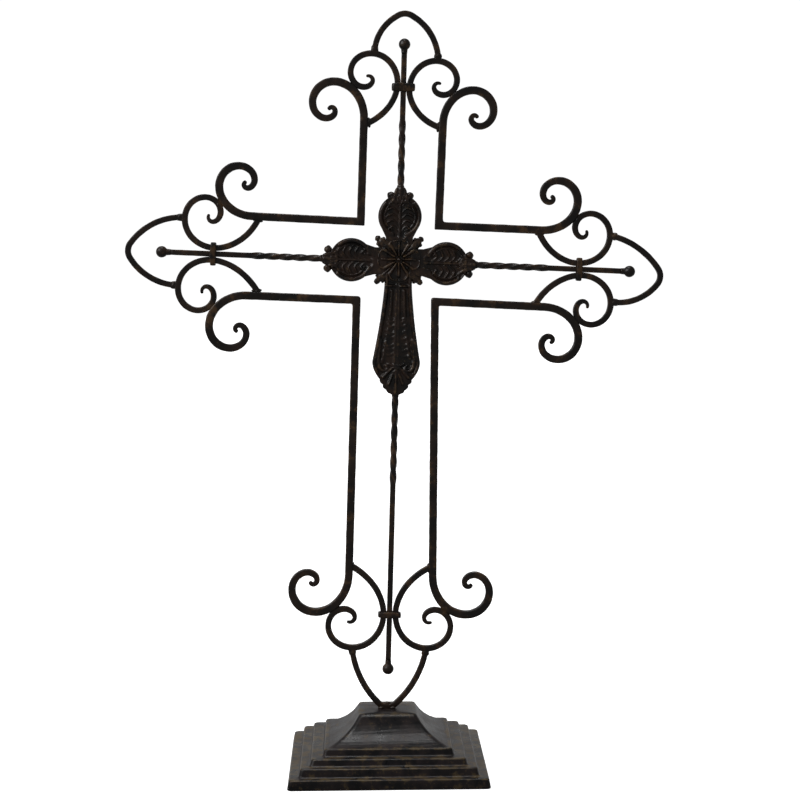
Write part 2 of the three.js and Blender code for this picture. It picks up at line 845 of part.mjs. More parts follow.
function addMesh(name, geometry, look) {
  const mesh = new THREE.Mesh(geometry, new THREE.MeshStandardMaterial(look));
  mesh.name = name;
  group.add(mesh);
}

addMesh("stepped_base", geometryOf(base()), CAST_IRON);
for (const [name, { points, widths }] of Object.entries(cornerBars)) {
  addMesh(`corner_bar_${name}`, geometryOf(bar(points, widths)), IRON);
}
for (const [name, scroll] of Object.entries(innerScrolls)) {
  const host = cornerBars[scroll.host];
  const seated = bar(scroll.points, scroll.widths).subtract(bar(host.points, host.widths, WELD_GAP));
  addMesh(`inner_scroll_${name}`, geometryOf(seated), IRON);
}
for (const arm of Object.keys(ARMS)) {
  const { points, widths } = arch(arm);
  let solid = bar(points, widths);
  for (const scroll of scrollsOn(arm)) {
    solid = solid.subtract(bar(scroll.points, scroll.widths, WELD_GAP));
  }
  if (arm === "bottom") {
    solid = solid.subtract(base(WELD_GAP));
  }
  addMesh(`pointed_arch_${arm}`, geometryOf(solid), IRON);
  addMesh(`rod_${arm}`, geometryOf(rod(arm)), IRON);
  addMesh(`ball_end_${arm}`, ballEnd(arm), IRON);
  addMesh(`collar_${arm}`, collar(arm), IRON);
}
addMesh("centrepiece", centrepiece(), CAST_IRON);

export default group;
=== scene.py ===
"""Looks of a free-standing wrought iron cross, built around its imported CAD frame.

The forged bars, the cast centrepiece and the cast base are worked out as surfaces over the same sizes as the
CAD solids. Lengths inside the builders are millimetres in the plane of the ironwork, as (x, z) pairs, and
each mesh is written in metres. +Z is up and the front faces -Y.
"""

import logging
import math
from collections.abc import Callable
from dataclasses import dataclass
from enum import Enum
from functools import partial

import bpy
import numpy as np
from mathutils import Matrix

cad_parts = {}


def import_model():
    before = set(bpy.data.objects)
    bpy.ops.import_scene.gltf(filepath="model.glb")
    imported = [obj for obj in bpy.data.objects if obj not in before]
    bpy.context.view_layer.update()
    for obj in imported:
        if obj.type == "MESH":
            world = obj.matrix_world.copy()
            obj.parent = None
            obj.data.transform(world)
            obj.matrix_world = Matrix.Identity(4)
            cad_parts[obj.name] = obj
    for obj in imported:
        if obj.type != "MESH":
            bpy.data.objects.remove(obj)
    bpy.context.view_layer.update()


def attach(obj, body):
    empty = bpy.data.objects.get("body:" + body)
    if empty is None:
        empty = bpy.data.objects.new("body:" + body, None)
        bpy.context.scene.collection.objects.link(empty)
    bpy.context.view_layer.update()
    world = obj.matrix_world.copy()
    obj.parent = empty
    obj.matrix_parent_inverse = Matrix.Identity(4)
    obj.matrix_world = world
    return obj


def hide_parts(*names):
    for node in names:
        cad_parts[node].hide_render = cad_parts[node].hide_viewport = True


LOG = logging.getLogger("cross")

MM = 0.001
QUARTER = math.pi / 2
BODY = "root"

# Stock, joints and base, in mm, as the CAD part has them
BAR = 7.9
SCROLL_STOCK = 6.0
ROD = 5.5
ARCH_STOCK = 5.8
TIP_TAPER = 0.5
WELD_GAP = 0.3
WELD_SEAT = 0.7
FOOT_SEAT = 1.2
PLATE_TOP = 57.2
CAST_RIM = 5.0
CAST_PANEL = 2.5

# Heights of the hammer marks, in mm
BAR_HAMMER = 0.16
LIGHT_HAMMER = 0.12

# Half thickness at which the casting's paint begins to be rubbed, and how much more rubs it through, in mm
RUB_FROM = 3.0
RUB_RANGE = 3.2

# What all coats share: bounds of the noises, shares of the colours, and the grain
THIN_COAT = (0.36, 0.62)
WORN_EDGE = 0.14
WORN_SHARE = 0.75
FLECK_EDGE = 0.2
FLECKS_BY_WEAR = 0.25
GLOSS_PATCHES = (0.3, 0.7)
GLOSS_CHANGE = (-0.07, 0.09)
NOISE_ROUGHNESS = 0.6
GRAIN_MM = 1.1
BUMP_SCALE = 4

LEAN = math.radians(1.8)
ARM_DROOP = math.radians(0.9)
STATIONS = 15


def heading(angle: np.ndarray | float) -> np.ndarray:
    """Unit vector or vectors in the plane at an angle from +X towards +Z."""
    return np.stack([np.cos(angle), np.sin(angle)], axis=-1)


@dataclass(frozen=True)
class Arm:
    """One arm of the cross: distances outwards from the crossing of the rods.

    arch_point is the turn of the arch's point in degrees, and arch_offset how far it lies to the left.
    """

    name: str
    angle: float
    reach: float
    collar: float
    ball: float
    collar_height: float
    arch_point: float
    twist: float
    cast_tip: float
    arch_offset: float = 0.0

    def point(self, along: np.ndarray | float, left: np.ndarray | float = 0.0) -> np.ndarray:
        """Points that lie along the arm and to the left of its direction.

        Args:
            along: distance or distances from the crossing.
            left: distance or distances to the left.

        Returns:
            The points as (..., 2).
        """
        along, left = np.broadcast_arrays(np.asarray(along, float), np.asarray(left, float))
        across = heading(self.angle + QUARTER)
        return CROSSING + along[..., None] * heading(self.angle) + left[..., None] * across


FOOT_ANGLE = -QUARTER - LEAN
FOOT_REACH = 450.8
CROSSING = np.array([-0.3, PLATE_TOP]) - heading(FOOT_ANGLE) * (FOOT_REACH + ARCH_STOCK / 2 - FOOT_SEAT)

ARMS = {
    "top": Arm(
        "top", QUARTER - LEAN, reach=244.5, collar=172.5, ball=214.5,
        collar_height=8.2, arch_point=27, twist=66, cast_tip=74.3,
    ),
    "left": Arm(
        "left", math.pi - LEAN - ARM_DROOP, reach=269.5, collar=185, ball=236,
        collar_height=6, arch_point=34, twist=70, cast_tip=77,
    ),
    "right": Arm(
        "right", -LEAN - ARM_DROOP, reach=262.2, collar=180.5, ball=231,
        collar_height=6, arch_point=36, twist=72, cast_tip=77.4, arch_offset=-3.8,
    ),
    "bottom": Arm(
        "bottom", FOOT_ANGLE, reach=FOOT_REACH, collar=356.5, ball=412,
        collar_height=6, arch_point=44, twist=90, cast_tip=134,
    ),
}


@dataclass(frozen=True)
class Leg:
    """One leg of a corner bar, which runs beside an arm and ends in a scroll.

    side is +1 to the left of the arm's direction, offset the distance from the rod, splay how far it opens
    from the rod in degrees, scroll where it begins to bend, size and inner the scales of its own and its
    inner scroll, and weld where the inner scroll starts.
    """

    arm: str
    side: int
    offset: float
    splay: float
    scroll: float
    size: float
    inner: float
    weld: float

    @property
    def angle(self) -> float:
        """Direction of the leg."""
        return ARMS[self.arm].angle + self.side * math.radians(self.splay)

    def point(self, along: float) -> np.ndarray:
        """Point on the leg's centre line at a distance along its arm."""
        spread = (along - self.offset) * math.tan(math.radians(self.splay))
        return ARMS[self.arm].point(along, self.side * (self.offset + spread))


@dataclass(frozen=True)
class Corner:
    """The two legs of a corner bar, and how far its outer and its inner edge round off where they meet."""

    legs: tuple[Leg, Leg]
    outer: float
    inner: float


CORNERS = {
    "upper_left": Corner((
        Leg("top", 1, offset=38.9, splay=-0.4, scroll=140.5, size=0.92, inner=0.91, weld=134.5),
        Leg("left", -1, offset=38.2, splay=0.4, scroll=147.5, size=0.88, inner=0.94, weld=140),
    ), outer=1.2, inner=0.8),
    "upper_right": Corner((
        Leg("right", 1, offset=37.4, splay=0, scroll=141.5, size=0.89, inner=0.94, weld=137.5),
        Leg("top", -1, offset=38.8, splay=0.8, scroll=137.5, size=0.89, inner=0.88, weld=133),
    ), outer=1.0, inner=2.6),
    "lower_left": Corner((
        Leg("left", 1, offset=39.9, splay=0, scroll=150, size=0.95, inner=0.98, weld=137),
        Leg("bottom", -1, offset=41.1, splay=0.2, scroll=316, size=1.02, inner=1.06, weld=306.5),
    ), outer=3.4, inner=2.6),
    "lower_right": Corner((
        Leg("bottom", 1, offset=37.2, splay=1.1, scroll=315.5, size=1.03, inner=1.06, weld=306),
        Leg("right", -1, offset=38.2, splay=0.4, scroll=147.5, size=0.93, inner=0.95, weld=137),
    ), outer=3.4, inner=2.0),
}


# Paths in the plane


def scroll_curve(
    start: np.ndarray, angle: float, side: int, radii: tuple[float, ...], turns: float, steps: int
) -> np.ndarray:
    """A line that turns to one side, its radius of bend passing evenly from quarter turn to quarter turn.

    Each chord is twice the radius times the sine of half its turn, laid at the heading of the turn's middle.

    Args:
        start: first point.
        angle: heading at the start.
        side: +1 turns left, -1 turns right.
        radii: radius of bend at each quarter turn.
        turns: length of the curve in quarter turns.
        steps: number of chords.

    Returns:
        The points as (steps + 1, 2).
    """
    middle = (np.arange(steps) + 0.5) * turns / steps
    radius = np.interp(middle, np.arange(len(radii)), radii)
    chord = 2 * radius * math.sin(turns * QUARTER / steps / 2)
    moves = chord[:, None] * heading(angle + side * middle * QUARTER)
    return np.vstack([start, start + np.cumsum(moves, axis=0)])


def straight(start: np.ndarray, end: np.ndarray, spacing: float = 2.0) -> np.ndarray:
    """Points between two ends, both left out, about a spacing apart."""
    count = max(int(np.hypot(*(end - start)) / spacing), 1)
    share = np.linspace(0, 1, count + 1)[1:-1, None]
    return start + (end - start) * share


def run_along(points: np.ndarray) -> np.ndarray:
    """Distance of each point of a path from its start."""
    return np.concatenate([[0.0], np.cumsum(np.hypot(*np.diff(points, axis=0).T))])


def mitres(points: np.ndarray) -> np.ndarray:
    """Vectors across a path at each point, stretched by one over the cosine of half the turn there."""
    angles = np.arctan2(*np.diff(points, axis=0).T[::-1])
    into = np.concatenate([angles[:1], angles])
    out = np.concatenate([angles, angles[-1:]])
    half = np.arctan2(np.sin(out - into), np.cos(out - into)) / 2
    return heading(into + half + QUARTER) / np.cos(half)[:, None]


def least_distance(points: np.ndarray, path: np.ndarray) -> float:
    """Least distance from any of the points to a path, by dropping each point on each of its segments."""
    start = path[:-1]
    run = path[1:] - start
    offset = points[:, None] - start
    share = np.clip((offset * run).sum(-1) / (run * run).sum(-1), 0, 1)
    return float(np.hypot(*np.moveaxis(offset - share[..., None] * run, -1, 0)).min())


def tapered(steps: int, turns: float, taper: float, stock: float) -> np.ndarray:
    """Widths of a bar whose last quarter turns are drawn down evenly to a thinner tip."""
    from_tip = np.linspace(turns, 0, steps + 1)
    return stock * (1 - (1 - TIP_TAPER) * np.clip(1 - from_tip / taper, 0, 1))


# Closed skins


@dataclass
class Shell:
    """A closed skin in mm: points (n, 3), four-sided faces, end caps, and how rubbed each point is."""

    points: np.ndarray
    quads: np.ndarray
    caps: list[np.ndarray]
    rub: np.ndarray

    def facing_out(self) -> "Shell":
        """Turns all faces over where the volume inside them comes out negative."""
        a, b, c, d = (self.points[self.quads[:, i]] for i in range(4))
        volume = (a * np.cross(b, c)).sum() + (a * np.cross(c, d)).sum()
        for cap in self.caps:
            fan = self.points[cap]
            volume += (fan[0] * np.cross(fan[1:-1], fan[2:])).sum()
        if volume < 0:
            self.quads = self.quads[:, ::-1]
            self.caps = [cap[::-1] for cap in self.caps]
        return self


def tube(rings: np.ndarray, rub: np.ndarray | float = 0.0, loop: bool = False) -> Shell:
    """A skin over rings of equally many points.

    Args:
        rings: points as (rings, points in a ring, 3).
        rub: rub of each point, or one for all.
        loop: whether the last ring joins the first; otherwise both ends are closed with a flat face.

    Returns:
        The closed skin, its faces outwards.
    """
    count, around = rings.shape[:2]
    index = np.arange(count * around).reshape(count, around)
    ahead = np.roll(index, -1, axis=0)
    rows = slice(None) if loop else slice(0, count - 1)
    quads = np.stack([index, np.roll(index, -1, 1), np.roll(ahead, -1, 1), ahead], -1)[rows].reshape(-1, 4)
    caps = [] if loop else [index[0][::-1], index[-1]]
    rubs = np.broadcast_to(rub, (count, around)).reshape(-1).copy()
    return Shell(rings.reshape(-1, 3), quads, caps, rubs).facing_out()


def joined(shells: list[Shell]) -> Shell:
    """Several skins as one."""
    offsets = np.cumsum([0] + [len(shell.points) for shell in shells[:-1]])
    return Shell(
        np.concatenate([shell.points for shell in shells]),
        np.concatenate([shell.quads + offset for shell, offset in zip(shells, offsets)]),
        [cap + offset for shell, offset in zip(shells, offsets) for cap in shell.caps],
        np.concatenate([shell.rub for shell in shells]),
    )


def in_space(plane: np.ndarray, depth: np.ndarray) -> np.ndarray:
    """Points of the plane with their depth, as (x, y, z)."""
    return np.stack([plane[..., 0], np.broadcast_to(depth, plane.shape[:-1]), plane[..., 1]], axis=-1)


def rounded_square(corner: float, arc: int = 4, side: int = 2) -> tuple[np.ndarray, np.ndarray]:
    """Outline of a square of unit width with rounded corners.

    Args:
        corner: radius of the corners.
        arc: points on each corner.
        side: points inside each flat.

    Returns:
        The points as (n, 2), and how near each is to the crown of a corner, from 0 to 1.
    """
    quarter = np.arange(4)[:, None]
    share = np.linspace(0, 1, arc)
    centres = (0.5 - corner) * math.sqrt(2) * heading((quarter + 0.5) * QUARTER)
    arcs = centres + corner * heading((quarter + share) * QUARTER)
    ends = np.roll(arcs, -1, axis=0)[:, :1]
    between = np.linspace(0, 1, side + 2)[1:-1, None]
    flats = arcs[:, -1:] + (ends - arcs[:, -1:]) * between
    crown = np.tile(np.concatenate([0.55 + 0.45 * np.sin(np.pi * share), np.zeros(side)]), 4)
    return np.concatenate([arcs, flats], axis=1).reshape(-1, 2), crown


def rounded_core(side: int) -> tuple[np.ndarray, np.ndarray]:
    """Two parts of a rounded rectangle's outline, for any size and corner.

    The outline is the core, as shares of half its width and depth, plus the corner's radius times the normal.

    Args:
        side: points inside each flat.

    Returns:
        The core's points and the normals, each as (n, 2).
    """
    corner = 0.25
    outline, _ = rounded_square(corner, 6, side)
    spread = outline - np.clip(outline, -corner, corner)
    return np.clip(outline / corner, -1, 1), spread / np.hypot(*spread.T)[:, None]


def hammered(run: np.ndarray, around: np.ndarray, seed: int) -> np.ndarray:
    """Unevenness of forged stock: a sum of sines of the distance along the bar and the angle round it."""
    draw = np.random.default_rng(seed)
    total = np.zeros((len(run), len(around)))
    for pitch, folds in ((31, 1), (17, 2), (11, 1), (7.3, 3), (23, 0)):
        phase = draw.uniform(0, 2 * np.pi)
        total += np.sin(2 * np.pi * run[:, None] / pitch + folds * around + phase)
    return total / math.sqrt(5)


BAR_SECTION = rounded_square(0.17)


def sweep(
    points: np.ndarray, widths: np.ndarray, seed: int, hammer: float, across: np.ndarray | None = None
) -> Shell:
    """Square stock with rounded edges carried along a path in the plane, as deep as it is wide at each point.

    Args:
        points: the path.
        widths: width at each point.
        seed: seed of the hammer marks.
        hammer: height of the hammer marks.
        across: vector across the path at each point, or None for its mitres.

    Returns:
        The closed skin, its edges marked as rubbed.
    """
    outline, crown = BAR_SECTION
    around = np.arctan2(outline[:, 1], outline[:, 0])
    width = widths[:, None] + hammer * hammered(run_along(points), around, seed)
    across = mitres(points) if across is None else across
    plane = points[:, None] + across[:, None] * (outline[:, 0] * width)[..., None]
    return tube(in_space(plane, outline[:, 1] * width), crown * 0.5)


def round_end(points: np.ndarray, widths: np.ndarray, length: float) -> tuple[np.ndarray, np.ndarray]:
    """Adds stations past the last point that close the bar in a quarter ellipse of a length."""
    share = np.linspace(0, 1, 7)[1:] * QUARTER * 0.97
    step = points[-1] - points[-2]
    ahead = step / np.hypot(*step)
    return (
        np.vstack([points, points[-1] + np.sin(share)[:, None] * length * ahead]),
        np.concatenate([widths, widths[-1] * np.cos(share)]),
    )


def blob(
    centre: np.ndarray, radii: tuple[float, float, float], angle: float, seed: int, deep: float = 0.0
) -> Shell:
    """A lump of weld or a cast bead: an ellipsoid whose radius swells and sinks a little round it.

    Args:
        centre: place in the plane.
        radii: radius along the angle, across it, and from front to back.
        angle: direction of the first radius.
        seed: seed of the unevenness.
        deep: place of the centre from front to back.

    Returns:
        The closed skin.
    """
    phase = np.random.default_rng(seed).uniform(0, 2 * np.pi, 3)
    polar = np.linspace(0.03, np.pi - 0.03, 15)[:, None]
    around = np.linspace(0, 2 * np.pi, 24, endpoint=False)
    swell = 1 + 0.05 * np.sin(polar) * np.sin(3 * around + phase[0]) + 0.04 * np.sin(4 * polar + phase[1])
    swell = swell + 0.04 * np.sin(polar) ** 2 * np.sin(2 * around + 5 * polar + phase[2])
    along = radii[0] * np.cos(polar) * swell
    across = radii[1] * np.sin(polar) * np.cos(around) * swell
    plane = centre + along[..., None] * heading(angle) + across[..., None] * heading(angle + QUARTER)
    depth = deep + radii[2] * np.sin(polar) * np.sin(around) * swell
    return tube(in_space(plane, depth), 0.45)


def lathe(arm: Arm, along: np.ndarray, radius: np.ndarray, seed: int) -> Shell:
    """A skin turned round an arm's line, its radius given at each distance along it."""
    around = np.linspace(0, 2 * np.pi, 36, endpoint=False)
    radii = radius[:, None] * (1 + 0.012 * hammered(along, around, seed))
    plane = arm.point(np.broadcast_to(along[:, None], radii.shape), radii * np.cos(around))
    return tube(in_space(plane, radii * np.sin(around)), 0.5)


# Finishes


def linear(colour: str) -> tuple[float, float, float, float]:
    """Turns a sRGB hex colour to linear light."""
    parts = [int(colour[i : i + 2], 16) / 255 for i in (1, 3, 5)]
    return (*[p / 12.92 if p <= 0.04045 else ((p + 0.055) / 1.055) ** 2.4 for p in parts], 1.0)


def add_node(
    tree: bpy.types.NodeTree, kind: str, inputs: dict | None = None, **settings: object
) -> bpy.types.Node:
    """Adds a node with its settings, and sets or links its inputs.

    Args:
        tree: node tree.
        kind: type of the node.
        inputs: value or socket of each input, by its name or number.
        settings: properties of the node.

    Returns:
        The node.
    """
    node = tree.nodes.new(kind)
    for name, value in settings.items():
        setattr(node, name, value)
    for key, value in (inputs or {}).items():
        if isinstance(value, bpy.types.NodeSocket):
            tree.links.new(value, node.inputs[key])
        else:
            node.inputs[key].default_value = value
    return node


@dataclass(frozen=True)
class RubbedPaint:
    """Oil-rubbed enamel: dark satin paint brushed on iron, with bronze rubbed through at edges and in flecks.

    Paint is a dielectric, so the metallic value is 0. The patches are where the brush left the coat thin, the
    flecks are dabs of bronze, and the dents are those of the metal under the coat. Sizes are in millimetres.
    """

    name: str
    dark: str
    brown: str
    bronze: str
    fleck: str
    roughness: float
    specular: float
    patch_mm: float
    fleck_mm: float
    fleck_from: float
    fleck_share: float
    rub_mm: float
    rub_pull: float
    rub_from: float
    dent_mm: float
    dent_height_mm: float
    grain_height_mm: float

    def build(self) -> bpy.types.Material:
        """Makes the material from its sizes and colours."""
        material = bpy.data.materials.new(self.name)
        material.use_nodes = True
        tree = material.node_tree
        tree.nodes.clear()
        add = partial(add_node, tree)
        place = add("ShaderNodeTexCoord").outputs["Object"]
        rub = add("ShaderNodeAttribute", attribute_name="rub").outputs["Fac"]
        # Each noise with the size of its lumps in mm and its detail
        lumps = ((self.patch_mm, 3), (self.fleck_mm, 5), (self.rub_mm, 4), (self.dent_mm, 1), (GRAIN_MM, 2))
        patches, dabs, rubs, dents, grains = (
            add(
                "ShaderNodeTexNoise",
                {"Vector": place, "Scale": 1 / (size * MM), "Detail": detail, "Roughness": NOISE_ROUGHNESS},
            ).outputs["Fac"]
            for size, detail in lumps
        )
        pull = add("ShaderNodeMath", {0: rub, 1: self.rub_pull}, operation="MULTIPLY").outputs[0]
        worn = add("ShaderNodeMath", {0: pull, 1: rubs}, operation="ADD").outputs[0]
        wear = add("ShaderNodeMath", {0: worn, 1: 0.5}, operation="SUBTRACT").outputs[0]
        more = add("ShaderNodeMath", {0: wear, 1: FLECKS_BY_WEAR}, operation="MULTIPLY").outputs[0]
        chance = add("ShaderNodeMath", {0: dabs, 1: more}, operation="ADD").outputs[0]
        # Each colour lies over those before it, by a smooth step of its value between two bounds
        coat = linear(self.dark)
        for value, low, high, share, colour in (
            (patches, *THIN_COAT, 1.0, self.brown),
            (worn, self.rub_from, self.rub_from + WORN_EDGE, WORN_SHARE, self.bronze),
            (chance, self.fleck_from, self.fleck_from + FLECK_EDGE, self.fleck_share, self.fleck),
        ):
            over = add(
                "ShaderNodeMapRange", {"Value": value, "From Min": low, "From Max": high, "To Max": share},
                interpolation_type="SMOOTHSTEP",
            ).outputs["Result"]
            colours = {0: over, 6: coat, 7: linear(colour)}
            coat = add("ShaderNodeMix", colours, data_type="RGBA").outputs[2]
        gloss = add(
            "ShaderNodeMapRange",
            {"Value": patches, "From Min": GLOSS_PATCHES[0], "From Max": GLOSS_PATCHES[1],
             "To Min": self.roughness + GLOSS_CHANGE[0], "To Max": self.roughness + GLOSS_CHANGE[1]},
        ).outputs["Result"]
        relief = {}
        for height, height_mm in ((dents, self.dent_height_mm), (grains, self.grain_height_mm)):
            bump = {"Height": height, "Distance": height_mm * MM * BUMP_SCALE, "Strength": 1.0, **relief}
            relief = {"Normal": add("ShaderNodeBump", bump).outputs["Normal"]}
        shader = add(
            "ShaderNodeBsdfPrincipled",
            {"Base Color": coat, "Roughness": gloss, "Specular IOR Level": self.specular, "Metallic": 0.0,
             **relief},
        )
        add("ShaderNodeOutputMaterial", {"Surface": shader.outputs["BSDF"]})
        return material


class Coat(Enum):
    """The finishes of the cross, each with a slot name beside it."""

    # Brushed enamel on forged and drawn steel bar: smooth, with hammer marks and rubbed edges
    IRONWORK = ("ironwork", RubbedPaint(
        "brushed_enamel_on_forged_bar", dark="#110c09", brown="#2d1f15", bronze="#5a4127", fleck="#85693f",
        roughness=0.36, specular=0.5, patch_mm=26, fleck_mm=3.0, fleck_from=0.62, fleck_share=0.6,
        rub_mm=13, rub_pull=0.12, rub_from=0.56, dent_mm=7, dent_height_mm=0.14, grain_height_mm=0.03))
    # Enamel on a sand casting: grainy, with the raised relief rubbed to bronze
    CENTREPIECE = ("cast_centrepiece", RubbedPaint(
        "rubbed_enamel_on_sand_casting", dark="#110c09", brown="#312016", bronze="#5a4530", fleck="#7d6a48",
        roughness=0.31, specular=0.5, patch_mm=14, fleck_mm=2.2, fleck_from=0.60, fleck_share=0.7,
        rub_mm=6, rub_pull=0.22, rub_from=0.61, dent_mm=3.0, dent_height_mm=0.04, grain_height_mm=0.03))
    # Enamel on a larger casting: blotched, with olive bronze dabbed along the steps, and bronze on the step
    # edges that stands partly for wear and partly for a painted highlight
    BASE = ("cast_base", RubbedPaint(
        "dabbed_enamel_on_cast_base", dark="#151416", brown="#2b2424", bronze="#54462e", fleck="#776640",
        roughness=0.33, specular=0.27, patch_mm=18, fleck_mm=2.2, fleck_from=0.58, fleck_share=0.4,
        rub_mm=9, rub_pull=0.22, rub_from=0.60, dent_mm=12, dent_height_mm=0.02, grain_height_mm=0.02))


FINISHES: dict[Coat, bpy.types.Material] = {}


def piece(name: str, shell: Shell, coat: Coat, *nodes: str) -> bpy.types.Object:
    """Makes a finished piece of a skin, on the frame's body, in the place of its CAD nodes.

    Args:
        name: name of the piece.
        shell: its skin in mm.
        coat: its finish.
        nodes: CAD nodes that it stands for.

    Returns:
        The object.
    """
    mesh = bpy.data.meshes.new(name)
    mesh.from_pydata(shell.points * MM, [], shell.quads.tolist() + [cap.tolist() for cap in shell.caps])
    mesh.attributes.new("rub", "FLOAT", "POINT").data.foreach_set("value", shell.rub.astype(np.float32))
    mesh.shade_smooth()
    mesh.update()
    slot, finish = coat.value
    if coat not in FINISHES:
        FINISHES[coat] = finish.build()
    mesh.materials.append(FINISHES[coat])
    made = bpy.data.objects.new(name, mesh)
    bpy.context.scene.collection.objects.link(made)
    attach(made, BODY)
    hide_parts(*nodes)
    LOG.info("%s: %d points, %d faces", name, len(mesh.vertices), len(mesh.polygons))
    return made


# Ironwork


@dataclass(frozen=True)
class CornerBar:
    """A square bar bent to a corner, with a scroll at both ends."""

    name: str
    corner: Corner
    radii: tuple[float, ...] = (46.5, 24.8, 20.5, 12, 5, 3.1)
    turns: float = 5.65
    taper: float = 4.0
    bend_clear: float = 0.6

    def scroll(self, leg: Leg) -> tuple[np.ndarray, np.ndarray]:
        """Path and widths of a leg's scroll, its tip rounded."""
        steps = round(self.turns * STATIONS)
        radii = tuple(radius * leg.size for radius in self.radii)
        points = scroll_curve(leg.point(leg.scroll), leg.angle, leg.side, radii, self.turns, steps)
        return round_end(points, tapered(steps, self.turns, self.taper, BAR), 1.6)

    def meeting(self) -> np.ndarray:
        """Where the legs' centre lines meet: the crossing of two lines by their cross products."""
        first, second = self.corner.legs
        run, other = heading(first.angle), heading(second.angle)
        gap = second.point(0) - first.point(0)
        cross = run[0] * other[1] - run[1] * other[0]
        return first.point(0) + run * (gap[0] * other[1] - gap[1] * other[0]) / cross

    def bend(self) -> tuple[np.ndarray, np.ndarray]:
        """Stations of the bend, and the vector across the bar at each.

        The outer and the inner edge each follow a quadratic curve about their own corner, which lies half a
        bar's width over the sine of the angle from where the legs meet. The stations run midway between them.
        """
        first, second = self.corner.legs
        a, b = heading(first.angle), heading(second.angle)
        reach = (a + b) * BAR / 2 / abs(a[0] * b[1] - a[1] * b[0])
        share = np.linspace(0, 1, 11)[:, None]
        edges = []
        meet = self.meeting()
        for place, run in ((meet - reach, self.corner.outer), (meet + reach, self.corner.inner)):
            curve = (1 - share) ** 2 * (place + a * run) + 2 * share * (1 - share) * place
            edges.append(curve + share**2 * (place + b * run))
        outer, inner = edges
        turn = second.angle - first.angle - math.pi
        side = 1 if math.sin(turn) > 0 else -1
        return (outer + inner) / 2, side * (inner - outer) / BAR

    def centre_line(self) -> tuple[np.ndarray, np.ndarray, np.ndarray]:
        """The whole path, its widths, and the vectors across it."""
        (first, first_widths), (second, second_widths) = (self.scroll(leg) for leg in self.corner.legs)
        bend, bend_across = self.bend()
        meet = self.meeting()
        clear = BAR / 2 + self.corner.inner + self.bend_clear
        ends = [meet + heading(leg.angle) * clear for leg in self.corner.legs]
        legs = [straight(leg.point(leg.scroll), end) for leg, end in zip(self.corner.legs, ends)]
        into = np.vstack([first[::-1], legs[0], ends[:1]])
        out = np.vstack([ends[1:], legs[1][::-1], second])
        into_across = mitres(np.vstack([into, meet]))[:-1]
        out_across = mitres(np.vstack([meet, out]))[1:]
        points = np.vstack([into, bend, out])
        plain = len(points) - len(first) - len(second)
        widths = np.concatenate([first_widths[::-1], np.full(plain, BAR), second_widths])
        return points, widths, np.vstack([into_across, bend_across, out_across])

    def build(self, seed: int) -> bpy.types.Object:
        """Makes the bar."""
        points, widths, across = self.centre_line()
        name = f"corner_bar_{self.name}"
        return piece(f"forged_{name}", sweep(points, widths, seed, BAR_HAMMER, across), Coat.IRONWORK, name)


